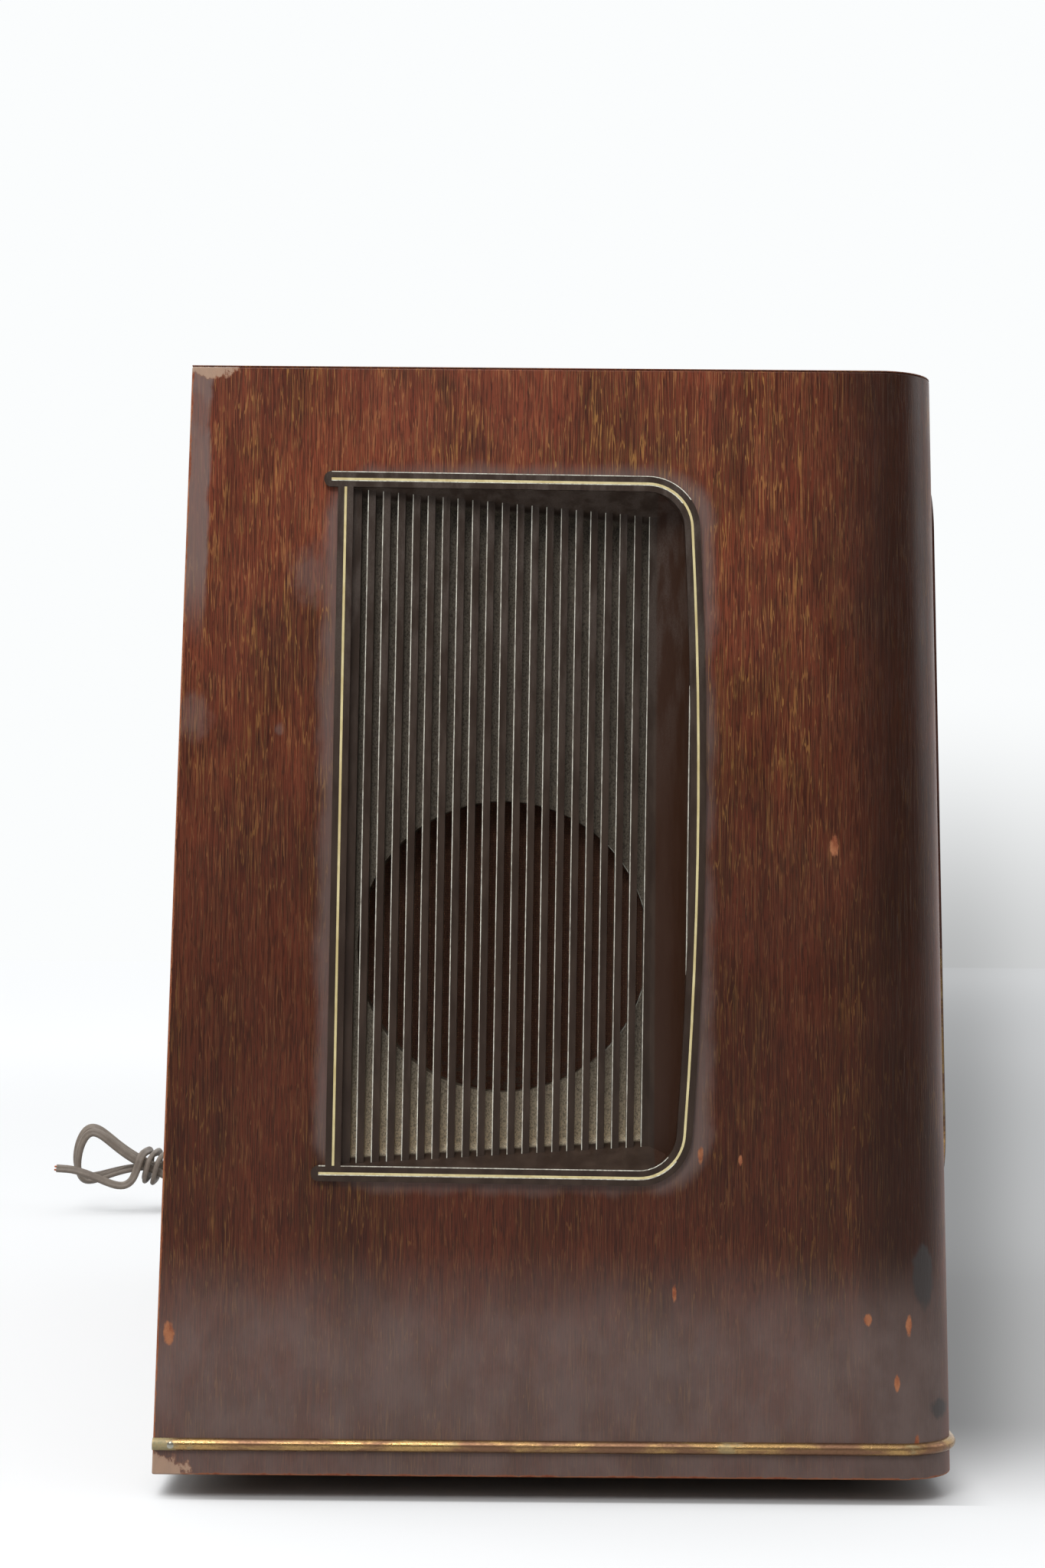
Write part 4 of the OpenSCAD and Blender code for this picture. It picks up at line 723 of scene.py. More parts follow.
# How near each other points are one, in metres, and up to which angle in radians faces count as flat
MERGE_WITHIN = 3e-6
FLAT_WITHIN = math.radians(0.35)

# How far a face's triangles may miss its area: a share of it, and a size in square metres
STRAY_SHARE = 0.02
STRAY_AREA = 1e-6

# Up to which angle in degrees the faces of eased and of turned pieces are shaded smooth
EASED_SMOOTH = 34.0
TURNED_SMOOTH = 30.0


class Easing(Enum):
    """How a piece's arrises are eased: with flat faces kept whole, cut up first, as they come, or not at all."""

    WHOLE_FACES = 0
    CUT_FACES = 1
    AS_THEY_COME = 2
    NONE = 3


def sound(work: bmesh.types.BMesh) -> bool:
    """Whether every face's triangles cover that face and nothing beside it.

    Args:
        work: the mesh that is worked on.

    Returns:
        True where no face leaves a stray triangle.
    """
    covered: dict[bmesh.types.BMFace, float] = {}
    for loops in work.calc_loop_triangles():
        a, b, c = (loop.vert.co for loop in loops)
        covered[loops[0].face] = covered.get(loops[0].face, 0.0) + (b - a).cross(c - a).length / 2
    return all(abs(covered.get(face, 0.0) - face.calc_area()) < face.calc_area() * STRAY_SHARE + STRAY_AREA
               for face in work.faces)


def merged(mesh: bpy.types.Mesh) -> bmesh.types.BMesh:
    """A working copy of a mesh, in which points that lie together are one.

    Args:
        mesh: the mesh.

    Returns:
        The copy.
    """
    work = bmesh.new()
    work.from_mesh(mesh)
    bmesh.ops.remove_doubles(work, verts=work.verts, dist=MERGE_WITHIN)
    return work


def level(work: bmesh.types.BMesh) -> None:
    """Makes one face of flat faces that lie side by side."""
    bmesh.ops.dissolve_limit(work, angle_limit=FLAT_WITHIN, verts=work.verts, edges=work.edges)


def eased(node: str, finish: Finish, width: float = 0.0003, segments: int = 2, sharp: float = 24.0
          ) -> bpy.types.Object:
    """Makes a piece that stands for a CAD node, with its arrises eased.

    Args:
        node: the node's name.
        finish: the piece's finish.
        width: how far an arris is eased, in metres.
        segments: how many facets the easing has.
        sharp: the angle in degrees from which an edge counts as an arris.

    Returns:
        The piece.
    """
    mesh = frame["nodes"][node].data.copy()
    mesh.materials.clear()
    mesh.materials.append(finish.material())
    for extra in [a.name for a in mesh.attributes if a.name.startswith("custom")]:
        mesh.attributes.remove(mesh.attributes[extra])
    for way in Easing:
        work = merged(mesh)
        for face in work.faces:
            face.material_index = 0
        if way in (Easing.WHOLE_FACES, Easing.CUT_FACES):
            level(work)
        if way is Easing.CUT_FACES and sound(work):
            bmesh.ops.triangulate(work, faces=work.faces)
        if width > 0 and way is not Easing.NONE:
            arrises = [edge for edge in work.edges
                       if len(edge.link_faces) == 2 and edge.calc_face_angle(0.0) > math.radians(sharp)]
            bmesh.ops.bevel(work, geom=arrises, offset=width, offset_type="OFFSET", segments=segments, profile=0.5,
                            affect="EDGES", clamp_overlap=True, loop_slide=True, material=-1)
        if sound(work):
            break
        log.info("%s: %s leaves a stray face", node, way.name)
        work.free()
    work.to_mesh(mesh)
    work.free()
    mesh.validate()
    shade(mesh, EASED_SMOOTH)
    piece = link(f"{node}.finished", mesh)
    weights = piece.modifiers.new("even shading", "WEIGHTED_NORMAL")
    weights.keep_sharp = True
    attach(piece, BODY_OF[node])
    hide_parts(node)
    return piece


def rubbed_edges(node: str, width: float = 0.00030, proud: float = 0.00002) -> None:
    """Lays a painted highlight, a pale strip, along a moulding's long arrises that look up, and behind the face
    backward too.

    Args:
        node: the moulding's node.
        width: the strip's width on the outer face, in metres.
        proud: how far it stands off the faces.
    """
    work = merged(frame["nodes"][node].data)
    level(work)
    work.normal_update()
    sharp, sideways, upward, shortest = math.radians(50), 0.85, 0.6, 0.001
    points, faces = [], []
    for edge in work.edges:
        if len(edge.link_faces) != 2 or edge.calc_face_angle(0.0) < sharp:
            continue
        outer, flank = sorted(edge.link_faces, key=lambda face: -abs(face.normal.x))
        along = edge.verts[1].co - edge.verts[0].co
        lit = flank.normal.z
        if abs(edge.verts[0].co.x) < HALF_WIDTH + 0.0003:
            lit = max(lit, flank.normal.y)
        if abs(outer.normal.x) < sideways or lit < upward or along.length < shortest or not edge.is_convex:
            continue
        inward = outer.normal.cross(along).normalized()
        if inward.dot(flank.normal) > 0:
            inward.negate()
        back = flank.normal.cross(along).normalized()
        if back.dot(outer.normal) > 0:
            back.negate()
        for end in edge.verts:
            rim = end.co + (outer.normal + flank.normal) * proud
            points += [rim + inward * width, rim, rim + back * width * 0.6]
        base = len(points) - 6
        faces += [(base, base + 1, base + 4, base + 3), (base + 1, base + 2, base + 5, base + 4)]
    work.free()
    mesh_of(f"{node}.rubbed", points, faces, HIGHLIGHT_PAINT, BODY_OF[node], None)
    log.info("%s: %d painted arris highlights", node, len(faces) // 2)


def turned(name: str, profile: Sequence[tuple[float, float]], centre: Point, axis: Point, finish: Finish, body: str,
           steps: int = 64, flute: float = 0.0) -> bpy.types.Object:
    """Turns a profile round an axis, with flutes if wanted.

    Args:
        name: the piece's name.
        profile: radius and place along the axis of each point, in metres.
        centre: a point on the axis.
        axis: the axis's direction.
        finish: the piece's finish.
        body: the body that it rides on.
        steps: how many steps the turn has.
        flute: how deep every second step is cut back, in metres.

    Returns:
        The piece.
    """
    ahead = Vector(axis).normalized()
    one = ahead.orthogonal().normalized()
    two = ahead.cross(one)
    points = []
    for radius, place in profile:
        for k in range(steps):
            angle = 2 * math.pi * k / steps
            reach = max(radius - (flute if k % 2 else 0.0), 1e-5)
            points.append(Vector(centre) + ahead * place + (one * math.cos(angle) + two * math.sin(angle)) * reach)
    faces = [(r * steps + k, r * steps + (k + 1) % steps, (r + 1) * steps + (k + 1) % steps, (r + 1) * steps + k)
             for r in range(len(profile) - 1) for k in range(steps)]
    faces += [tuple(range(steps)), tuple(range((len(profile) - 1) * steps, len(profile) * steps))]
    return mesh_of(name, points, faces, finish, body, TURNED_SMOOTH)


def swept(line: np.ndarray, outline: np.ndarray, side: Point, twist: np.ndarray | None = None
          ) -> tuple[list[Point], list[tuple[int, ...]]]:
    """Sweeps an outline along a line, turning it as little as it can be.

    Args:
        line: the line's points.
        outline: the outline's points, along the side direction and square to it.
        side: the side direction at the start.
        twist: an added turn at each point of the line, in radians.

    Returns:
        The points and faces of the closed sweep.
    """
    points, faces, count = [], [], len(outline)
    across = np.array(side, float)
    for i, here in enumerate(line):
        ahead = line[min(i + 1, len(line) - 1)] - line[max(i - 1, 0)]
        ahead /= np.linalg.norm(ahead)
        across = across - ahead * (across @ ahead)
        across /= np.linalg.norm(across)
        other = np.cross(ahead, across)
        turn = 0.0 if twist is None else twist[i]
        a = across * math.cos(turn) + other * math.sin(turn)
        b = other * math.cos(turn) - across * math.sin(turn)
        points += [here + a * u + b * v for u, v in outline]
        if i:
            base = (i - 1) * count
            faces += [(base + k, base + (k + 1) % count, base + count + (k + 1) % count, base + count + k)
                      for k in range(count)]
    faces += [tuple(range(count))[::-1], tuple(range(len(points) - count, len(points)))]
    return points, faces


def rounded(line: np.ndarray, parts: int) -> np.ndarray:
    """Draws a smooth curve through a line's points.

    Args:
        line: the points.
        parts: how many steps lie between two of them.

    Returns:
        The curve's points.
    """
    ends = np.vstack([2 * line[0] - line[1], line, 2 * line[-1] - line[-2]])
    made = []
    for a, b, c, d in zip(ends, ends[1:], ends[2:], ends[3:]):
        for t in np.arange(parts) / parts:
            bend, wind = 2 * a - 5 * b + 4 * c - d, 3 * b - a - 3 * c + d
            made.append(0.5 * (2 * b + (c - a) * t + bend * t**2 + wind * t**3))
    return np.array([*made, line[-1]])


@dataclass
class Studio:
    """The photograph's camera, white floor and soft light."""

    eye: tuple[float, float, float] = (-1.320, 0.0226, 0.2205)
    focal: float = 3480.0
    horizon: float = 161.0
    roll: float = 0.46
    picture_height: float = 2048.0
    sensor: float = 36.0
    floor_start: float = -6.0
    floor_end: float = 9.0
    floor_half: float = 8.0
    shine_start: float = -0.86

    def camera(self) -> None:
        """Sets up the camera where the photograph was taken."""
        pitch, roll = math.atan2(self.horizon, self.focal), math.radians(self.roll)
        ahead = Vector((math.cos(pitch), 0, math.sin(pitch)))
        level, up = Vector((0, -1, 0)), Vector((-math.sin(pitch), 0, math.cos(pitch)))
        right = math.cos(roll) * level + math.sin(roll) * up
        top = -math.sin(roll) * level + math.cos(roll) * up
        data = bpy.data.cameras.new("camera")
        data.sensor_width = self.sensor
        data.lens = self.focal / self.picture_height * self.sensor
        data.clip_start, data.clip_end = 0.05, 60.0
        camera = link("camera", data)
        turn = Matrix((right, top, -ahead)).transposed().to_4x4()
        camera.matrix_world = Matrix.Translation(self.eye) @ turn
        bpy.context.scene.camera = camera

    def veil(self, bench: Bench, aside: Reading) -> Reading:
        """How much painted grey shade at the right of the camera's view takes from the white, by how far aside a place
        lies.
        """
        return (bench.step(aside, -0.13, 0.158) * bench.step(aside, 0.16, 0.20, 0.67, 0.46)
                * bench.step(aside, 0.20, 0.75, 1.0, 0.0))

    def floor(self) -> None:
        """Lays the white floor, on which the set stands, with a painted shadow round and under the set and a painted
        grey shade to its right.
        """
        mesh = bpy.data.meshes.new("studio_floor")
        corners = [(x, y, 0.0) for x in (self.floor_start, self.floor_end) for y in (-self.floor_half, self.floor_half)]
        mesh.from_pydata(corners, [], [(0, 2, 3, 1)])
        bench = Bench("white floor")
        x, y = bench.x, bench.y
        shine = bench.rays("Glossy", "Transmission") * bench.step(x, self.shine_start, self.shine_start + 0.02)
        seen = bench.any_of(bench.rays("Camera"), shine)
        # Painted shadow: the floor's glow fades near the set by ambient occlusion and is cut out under its footprint,
        # so the set seems to shadow it.
        near = bench.read("ShaderNodeAmbientOcclusion", "AO", {"samples": 12}, Distance=0.05)
        rim = 0.0015
        under = (bench.step(x, -HALF_WIDTH - rim, rim - HALF_WIDTH) * bench.step(x, HALF_WIDTH + rim, HALF_WIDTH - rim)
                 * bench.step(y, 0.163, 0.120) * bench.step(y, -0.158, -0.122))
        outside_painted_shadow = bench.step(near, 0.2, 0.62, 0.02, 1.0) * (1.0 - under)
        ahead = x - self.eye[0]
        aside = (self.eye[1] - y) / ahead
        # Painted shade: the floor is greyed to the right of the set, as the camera sees it.
        grey = self.veil(bench, aside) * bench.step(ahead, 0.97, 1.17) * bench.step(ahead, 2.2, 9.5, 1.0, 0.72)
        away = bench.sum("SQRT", x * x + y * y)
        strength = seen * outside_painted_shadow * (1.0 - grey) * bench.step(away, 0.5, 3.2, 0.47, 0.68)
        paper = bench.read("ShaderNodeBsdfDiffuse", 0, Color=bench.mix(grey, (0.694361, 0.695778, 0.697897), BLACK))
        glow = bench.read("ShaderNodeEmission", 0, Color=(0.97, 0.985, 1.0), Strength=strength)
        both = bench.read("ShaderNodeAddShader", 0, inputs=(paper, glow))
        bench.node("ShaderNodeOutputMaterial", Surface=both)
        mesh.materials.append(bench.material)
        link("studio_floor", mesh)

    def light(self) -> None:
        """Hangs the soft lights and gives the surroundings their brightness."""
        world = bpy.data.worlds.new("studio")
        bpy.context.scene.world = world
        world.use_nodes = True
        bench = Bench("studio", world.node_tree, "Generated")
        ahead, up = bench.x, bench.z
        sky = bench.step(up, -0.1, 0.85, 0.36, 0.80)
        mirror = bench.any_of(bench.step(ahead, -0.35, 0.45, 0.12, 1.0), bench.step(up, 0.25, 0.75))
        glossy, seen = bench.rays("Glossy", "Transmission"), bench.rays("Camera")
        strength = seen + (1.0 - seen) * (glossy * mirror + (1.0 - glossy) * sky)
        forward = bench.sum("MAXIMUM", ahead, 0.001)
        aside, rise = bench.y * -1.0 / forward, up / forward
        # Painted shade: the backdrop that the camera sees is greyed to the right of the set.
        grey = self.veil(bench, aside) * bench.step(rise, 0.085, -0.03, 0.0, 0.78) * bench.step(ahead, 0.2, 0.5)
        tint = bench.mix(grey * seen, (0.984455, 0.991157, 0.993377), BLACK)
        glow = bench.read("ShaderNodeBackground", 0, Color=tint, Strength=strength)
        bench.node("ShaderNodeOutputWorld", Surface=glow)
        for name, place, aim, size, power in (
            ("side box", (-1.75, 0.42, 1.75), (-0.3, 0, 0.2), 0.8, 22.0),
            ("top box", (-0.3, 0.6, 2.1), (0, 0, 0.2), 1.4, 14.0),
            ("back strip", (0.2, 1.9, 0.9), (0, 0, 0.25), 0.9, 9.0),
            ("front strip", (-0.2, -1.9, 0.9), (0, 0, 0.25), 0.9, 6.0),
        ):
            data = bpy.data.lights.new(name, "AREA")
            data.size, data.energy = size, power
            lamp = link(name, data)
            lamp.location = place
            lamp.visible_glossy = name != "back strip"
            lamp.rotation_euler = (Vector(place) - Vector(aim)).to_track_quat("Z", "Y").to_euler()


@dataclass
class MainsLead:
    """The flat twin mains lead: its run along the floor and the tied bundle behind the set."""

    width: float = 0.0056
    thickness: float = 0.0033
    length: float = 1.71
    rear: float = 158.2807
    exit_at: tuple[float, float, float] = (215.0, 175.4914, 45.4)
    loop_reach: float = 55.0
    loop_width: float = 44.0
    loop_step: float = 6.1
    tilt: float = 10.0
    loop_start: float = -60.0
    loop_turn: float = 1060.0
    wraps: float = 2.5
    wrap_reach: tuple[float, float] = (9.4, 9.6)
    span: float = 16.0
    coiled_from: float = 0.46
    tail: float = 0.085

    @property
    def tie_at(self) -> np.ndarray:
        """The middle of the tie, in millimetres as the other route points are."""
        return np.array([610.0, self.rear + 128.0, 32.3])

    def loop_point(self, u: float) -> np.ndarray:
        """A place on the loops.

        Args:
            u: how far the cord has gone round, in degrees.

        Returns:
            The place in millimetres.
        """
        s, c = math.sin(math.radians(u)), math.cos(math.radians(u))
        drift = ((u - self.loop_start) / self.loop_turn - 0.5) * self.loop_step * 6.0
        turn = math.radians(self.tilt - 1.3 * math.sin(math.radians(u / 2.7)) * s * s)
        p = (self.loop_reach - 3.0 * math.sin(math.radians(u / 3.3 + 40.0))) * s
        q = self.loop_width * (1 + 0.1 * s) * s * c * (0.5 + s * s) / 1.5
        return self.tie_at + np.array([drift, p * math.cos(turn) - q * math.sin(turn),
                                       p * math.sin(turn) + q * math.cos(turn)])

    def wrap_point(self, t: float) -> np.ndarray:
        """A place on the tie's turns.

        Args:
            t: how far along the turns, from 0 at their start to 1 at their end.

        Returns:
            The place in millimetres.
        """
        def bulge(v: float) -> float:
            """Makes a round turn squarer."""
            return math.copysign(abs(v) ** 0.61, v)

        v = math.radians(360.0 * self.wraps * t)
        y, z = self.span * (t - 0.5), self.wrap_reach[1] * bulge(math.sin(v))
        a = math.radians(self.tilt)
        return self.tie_at + np.array([(self.loop_step * 2.5 + self.wrap_reach[0]) * bulge(math.cos(v)),
                                       y * math.cos(a) - z * math.sin(a), y * math.sin(a) + z * math.cos(a)])

    def route(self) -> np.ndarray:
        """Leads the cord from the grommet along the floor, round the loops and the tie to its cut end.

        Returns:
            The route's points in metres.
        """
        def aim(a: np.ndarray, b: np.ndarray, reach: float) -> np.ndarray:
            """The way from a to b, drawn to a length."""
            return (b - a) / np.linalg.norm(b - a) * reach

        def bridge(a: np.ndarray, da: np.ndarray, b: np.ndarray, db: np.ndarray, t: float) -> np.ndarray:
            """A smooth bridge that leaves a along da and reaches b along db."""
            s = 1 - t
            return a * s**3 + (a + da) * 3 * s * s * t + (b - db) * 3 * s * t * t + b * t**3

        loops = [self.loop_point(self.loop_start + self.loop_turn * i / 144) for i in range(145)]
        turns = [self.wrap_point(i / 50) for i in range(51)]
        into = [bridge(loops[-1], aim(loops[-2], loops[-1], 31.0), turns[0], aim(turns[0], turns[1], 21.5), i / 8)
                for i in range(1, 8)]
        tip = self.tie_at + np.array([-30.0, 64.5, 0.7])
        out = [bridge(turns[-1], aim(turns[-2], turns[-1], 30.0), tip, np.array([0.0, 30.0, -1.0]), i / 8)
               for i in range(1, 9)]
        start, rear, lying = np.array(self.exit_at), self.rear, 2.55
        run = [start, start + [0, 6, 0.1], [216, rear + 34, 40], [220, rear + 43, 25], [228, rear + 52, 9],
               [240, rear + 62, lying + 0.6], [256, rear + 71, lying]]
        run += [[x, rear + y, lying] for x, y in (
            (280, 74), (306, 72), (334, 67), (362, 62), (390, 58), (418, 55), (446, 52), (474, 49), (502, 46),
            (528, 45), (552, 46), (572, 51), (585, 61))]
        run += [loops[0] - aim(loops[0], loops[1], d) for d in (16.0, 8.0)]
        return np.array([*run, *loops, *into, *turns, *out], float) / 1000

    def build(self) -> None:
        """Makes the lead, its cut end and its grommet."""
        line = rounded(self.route(), 3)
        lobe, apart = self.thickness / 2, (self.width - self.thickness) / 2
        meet = math.degrees(math.acos(apart / lobe))
        angles = [math.radians(-(180 - meet) + (360 - 2 * meet) * k / 8) for k in range(9)]
        outline = [(apart + lobe * math.cos(a), lobe * math.sin(a)) for a in angles]
        outline += [(-u, -v) for u, v in outline[1:-1]]
        far = np.concatenate([[0], np.cumsum(np.linalg.norm(np.diff(line, axis=0), axis=1))])
        coiled = np.clip((far - self.coiled_from) / 0.05, 0, 1)
        tail = np.clip((far - (far[-1] - self.tail)) / 0.07, 0, 1)
        twist = coiled * 0.55 * np.sin(far * 31.0 + 1.0) + tail * 1.2
        points, faces = swept(line, np.array(outline), (1, 0, 0), twist)
        cord = mesh_of("mains_lead", points, faces, CORD, "cabinet", 60.0)
        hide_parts("mains_cord", "mains_hank")
        grommet = eased("cord_grommet", RUBBER, 0.0004)
        back = Vector(line[-1] - line[-4]).normalized()
        for number, shift in enumerate((-1, 1)):
            centre = Vector(swept(line, np.array([(apart * shift, 0.0)] * 3), (1, 0, 0), twist)[0][-1])
            turned(f"bare_core_{number}", [(0.0007, -0.001), (0.0007, 0.0012), (0.0004, 0.0016)],
                                centre, back, COPPER, "cabinet", 10)
        log.info("mains lead: %d rings, %.3f m", len(line), far[-1])


@dataclass
class Cabinet:
    """The veneered case, its bottom, runners and brass bead."""

    ease: float = 0.0007
    nail_stand: float = 0.00195
    nail_back: float = 0.1512
    nail_level: float = 0.0203

    def build(self) -> None:
        """Dresses the panels and trims."""
        for side in Side:
            eased(f"side_panel_{side.word}", Veneer(worn=side is Side.LEFT, seed=side.value * 2.0), self.ease, 3)
        eased("top_panel", Veneer(grain=Grain.CROSSWISE), self.ease, 3)
        eased("front_panel", Veneer(grain=Grain.UPRIGHT, seed=5.0), 0.0005)
        for node, finish in (("bottom_board", PLAIN_WOOD), ("corner_blocks", PLAIN_WOOD), ("back_battens", PLAIN_WOOD),
                             ("base_runners", RUNNER), ("runner_screws", ZINC), ("brass_bead", AgedBrass())):
            eased(node, finish)
        for side in Side:
            turned(f"bead_nail_{side.word}", [(0.0013, 0.0), (0.0013, 0.0003), (0.0009, 0.0006), (0.0003, 0.0007)],
                   (side.value * (HALF_WIDTH + self.nail_stand), self.nail_back, self.nail_level),
                   (side.value, 0, 0), ZINC, "cabinet", 16)
        log.info("cabinet dressed")


@dataclass
class SideGrille:
    """One side's moulded grille with its cloth, loudspeaker and cone."""

    side: Side
    ease: float = 0.0004
    cloth: float = 0.132
    cloth_area: float = 0.01368

    def build(self) -> None:
        """Dresses the grille and what lies behind it."""
        word = self.side.word
        eased(f"side_grille_{word}", Bakelite(dusty=True), self.ease, 2)
        rubbed_edges(f"side_grille_{word}")
        eased(f"grille_inlay_{word}", GOLD, 0.0)
        cloth = eased(f"side_cloth_{word}", SIDE_CLOTH, 0.0)
        eased(f"side_speaker_{word}", GREY_STEEL)
        eased(f"side_cone_{word}", PAPER, 0.0)
        log.info("side grille: %s", word)


@dataclass
class Front:
    """The front frame with the dial, its drive, the cloth and the loudspeaker."""

    def build(self) -> None:
        """Dresses the front."""
        for node, finish, width in (
            ("front_bezel", FRONT_FRAME, 0.0012), ("dial_trim", AgedBrass(), 0.0002),
            ("speaker_board", PLAIN_WOOD, 0.0),
            ("front_speaker", GREY_STEEL, 0.0003), ("front_cone", PAPER, 0.0), ("dial_glass", Glass(), 0.0003),
            ("dial_plate", DIAL_INK, 0.0), ("dial_pointer", POINTER, 0.0), ("dial_cord", DIAL_LINE, 0.0),
            ("pulley_left", PULLEY, 0.0002), ("pulley_right", PULLEY, 0.0002), ("dial_drum", ALUMINIUM, 0.0003),
            ("capacitor_frame", ZINC, 0.0002), ("magic_eye", EYE, 0.0003), ("key_surround", BRIGHT_GOLD, 0.0002),
        ):
            eased(node, finish, width)
        cloth = eased("front_cloth", FRONT_CLOTH, 0.0)
        log.info("front dressed")


DIGITS: dict[str, tuple[tuple[float, float], ...]] = {
    "0": ((0.2, 0), (0.8, 0), (1, 0.3), (1, 1.7), (0.8, 2), (0.2, 2), (0, 1.7), (0, 0.3), (0.2, 0)),
    "1": ((0.25, 1.6), (0.6, 2), (0.6, 0)),
    "2": ((0, 1.7), (0.2, 2), (0.8, 2), (1, 1.7), (1, 1.3), (0, 0), (1, 0)),
    "3": ((0, 2), (1, 2), (0.45, 1.2), (0.8, 1.2), (1, 0.95), (1, 0.3), (0.8, 0), (0.2, 0), (0, 0.3)),
    "4": ((0.75, 0), (0.75, 2), (0, 0.6), (1, 0.6)),
    "5": ((1, 2), (0.1, 2), (0, 1.1), (0.7, 1.2), (1, 0.9), (1, 0.3), (0.8, 0), (0.2, 0), (0, 0.25)),
    "6": ((0.9, 2), (0.3, 1.5), (0, 0.8), (0, 0.3), (0.2, 0), (0.8, 0), (1, 0.3), (1, 0.8), (0.8, 1.1), (0.2, 1.1),
          (0, 0.8)),
    "7": ((0, 2), (1, 2), (0.4, 0)),
    "8": ((0.2, 1.05), (0, 1.3), (0, 1.75), (0.2, 2), (0.8, 2), (1, 1.75), (1, 1.3), (0.8, 1.05), (0.2, 1.05),
          (0, 0.75), (0, 0.25), (0.2, 0), (0.8, 0), (1, 0.25), (1, 0.75), (0.8, 1.05)),
    "9": ((0.1, 0), (0.7, 0.5), (1, 1.2), (1, 1.7), (0.8, 2), (0.2, 2), (0, 1.7), (0, 1.2), (0.2, 0.9), (0.8, 0.9),
          (1, 1.2)),
}


@dataclass
class DialPrint:
    """The lines and plain numbers printed on the dial plate."""

    half: float = 0.158
    travel: float = 0.0945
    behind: float = 0.01096
    base: tuple[float, float] = (-0.14142, 0.009)
    lean: float = math.atan(8.3 / 415.5)
    ink: float = 0.00045
    digit: float = 0.0019
    pitch: float = 0.0028
    number_rise: float = 0.0048
    tick_start: float = 0.0002
    short_tick: float = 0.0018
    long_tick: float = 0.0034
    rows: tuple[tuple[float, tuple[int, ...]], ...] = (
        (0.1235, (88, 92, 96, 100, 104)), (0.1420, (6, 8, 10, 12, 15, 18)),
        (0.1605, (55, 60, 70, 80, 100, 130, 160)), (0.1790, (150, 180, 220, 260, 300)))

    def lay(self, name: str, strokes: list[list[tuple[float, float]]], finish: Finish) -> None:
        """Prints strokes on the plate.

        Args:
            name: the piece's name.
            strokes: lines across and up the plate, in metres.
            finish: the ink.
        """
        points, faces = [], []
        for stroke in strokes:
            for (xa, ua), (xb, ub) in zip(stroke, stroke[1:]):
                long = math.hypot(xb - xa, ub - ua)
                dx, du = (xb - xa) / long * self.ink / 2, (ub - ua) / long * self.ink / 2
                for x, u in ((xa - dx - du, ua - du + dx), (xa - dx + du, ua - du - dx),
                             (xb + dx + du, ub + du - dx), (xb + dx - du, ub + du + dx)):
                    points.append((x, self.base[0] + self.behind * math.cos(self.lean) + u * math.sin(self.lean),
                                   self.base[1] + u * math.cos(self.lean) - self.behind * math.sin(self.lean)))
                base = len(points) - 4
                faces.append((base, base + 1, base + 2, base + 3))
        mesh_of(name, points, faces, finish, "cabinet", None)

    def build(self) -> None:
        """Prints the rows of scale lines, ticks and numbers."""
        for number, (level, values) in enumerate(self.rows):
            lines = [[(-self.half, level), (self.half, level)]]
            ticks, digits = [], []
            fifths = len(values) * 5
            for k in range(fifths + 1):
                x = self.travel * (2 * k / fifths - 1)
                reach = self.long_tick if k % 5 == 2 else self.short_tick
                ticks.append([(x, level + self.tick_start), (x, level + reach)])
            for k, value in enumerate(values):
                text = str(value)
                x = self.travel * (2 * (k * 5 + 2) / fifths - 1) - len(text) * self.pitch / 2
                for place, digit in enumerate(text):
                    digits.append([(x + place * self.pitch + u * self.digit, level + self.number_rise + v * self.digit)
                                   for u, v in DIGITS[digit]])
            self.lay(f"dial_line_{number}", lines + ticks, DIAL_BROWN)
            self.lay(f"dial_numbers_{number}", digits, DIAL_RED if number == 0 else DIAL_BROWN)
        log.info("dial printed")


class Knob(Enum):
    """The knobs of a pair on one axis."""

    LARGE = 0
    SMALL = 1


# What is turned on to each pair of knobs: on which of them, the piece, its finish, steps, flutes and profile
KNOB_TRIMS = (
    (Knob.LARGE, "grip", Bakelite(), 144, 0.0004,
     ((0.0236, 0.0062), (0.0243, 0.0070), (0.0243, 0.0152), (0.0236, 0.0160))),
    (Knob.LARGE, "ring", BRIGHT_GOLD, 64, 0.0,
     ((0.0205, 0.0052), (0.0205, 0.0046), (0.0190, 0.0046), (0.0190, 0.0052))),
    (Knob.SMALL, "cap", BRIGHT_GOLD, 64, 0.0,
     ((0.0002, 0.0003), (0.0070, 0.0001), (0.0100, -0.0001), (0.0106, 0.0004))),
    (Knob.SMALL, "grip", BRIGHT_GOLD, 96, 0.0003,
     ((0.0118, 0.0010), (0.0122, 0.0014), (0.0122, 0.0042), (0.0118, 0.0046))),
)


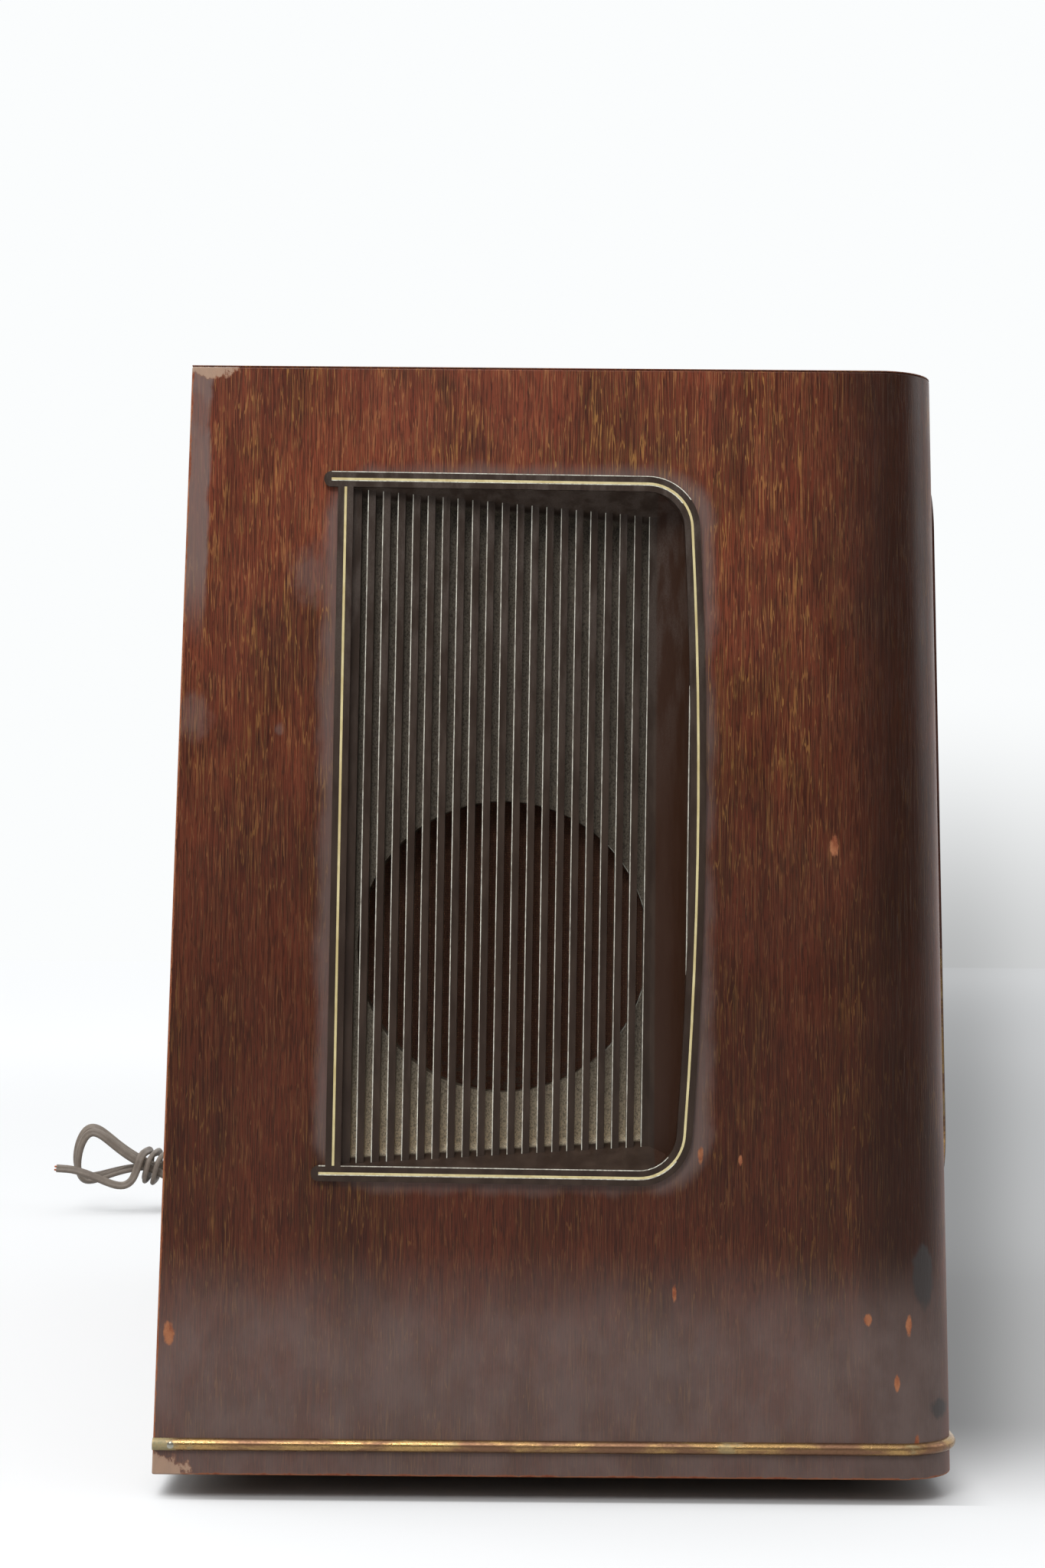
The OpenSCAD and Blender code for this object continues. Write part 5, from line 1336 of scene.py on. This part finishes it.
@dataclass
class Controls:
    """Knobs, their potentiometers, and the row of keys."""

    keys: int = 7
    face: float = -0.15828
    level: float = 0.066

    def build(self) -> None:
        """Dresses the controls."""
        for pair, x in ((("tuning", "treble"), 0.160), (("volume", "bass"), -0.160)):
            eased(f"{pair[0]}_knob", Bakelite(), 0.0006, 3)
            eased(f"{pair[1]}_knob", BRIGHT_GOLD, 0.0004, 3)
            for which, piece, finish, steps, flute, profile in KNOB_TRIMS:
                knob = pair[which.value]
                turned(f"{knob}_{piece}", profile, (x, self.face, self.level), (0, 1, 0), finish, knob, steps, flute)
        for number in range(1, self.keys + 1):
            eased(f"key_{number}", IVORY, 0.0006, 3)
        eased("potentiometers", ZINC)
        eased("key_frame", ZINC, 0.0002)
        log.info("controls dressed")


@dataclass
class Works:
    """The chassis with its valves, cans, transformers, aerial rod and sockets."""

    valves: tuple[tuple[float, float], ...] = ((-15, 58), (-15, 112), (125, 60), (130, 122), (60, 150), (-75, 70))
    heights: tuple[float, ...] = (62, 56, 62, 66, 56, 70)
    knob_y: float = -0.14028
    seat: float = 0.089

    def build(self) -> None:
        """Dresses the works."""
        for node, finish in (
            ("chassis", ZINC), ("valve_sockets", Bakelite()), ("valves", Glass()), ("screening_cans", ALUMINIUM),
            ("mains_transformer", CORE_STEEL), ("ferrite_aerial", FERRITE), ("socket_strip", Bakelite()),
            ("back_cover", HARDBOARD),
        ):
            eased(node, finish, 0.0002)
        for number, ((x, y), height) in enumerate(zip(self.valves, self.heights)):
            top = height / 1000
            parts = [(f"plates_{number}", PAPER, 12, 0.0012,
                      [(0.0030, 0.009), (0.0062, 0.009), (0.0062, top - 0.022), (0.0030, top - 0.022)])]
            parts += [(f"mica_{number}_{int(z * 1000)}", PULLEY, 24, 0.0008,
                       [(0.0080, z - 0.0003), (0.0080, z), (0.001, z)]) for z in (0.0085, top - 0.0215)]
            parts.append((f"getter_{number}", ALUMINIUM, 32, 0.0,
                          [(0.0085, top - 0.0120), (0.0093, top - 0.0100), (0.0080, top - 0.0060),
                           (0.0045, top - 0.0030), (0.0008, top - 0.0022)]))
            for name, finish, steps, flute, profile in parts:
                turned(f"valve_{name}", profile, (x / 1000, self.knob_y + y / 1000, self.seat), (0, 0, 1), finish,
                       "cabinet", steps, flute)
        log.info("works dressed")


def main() -> None:
    """Builds the studio and the set in order."""
    logging.basicConfig(level=logging.INFO)
    scene = bpy.context.scene
    scene.view_settings.view_transform = "Standard"
    studio = Studio()
    studio.camera()
    MainsLead().build()
    studio.floor()
    studio.light()
    Cabinet().build()
    for side in Side:
        SideGrille(side).build()
    Front().build()
    DialPrint().build()
    Controls().build()
    Works().build()
    log.info("sizes written")


if __name__ == "__main__":
    main()
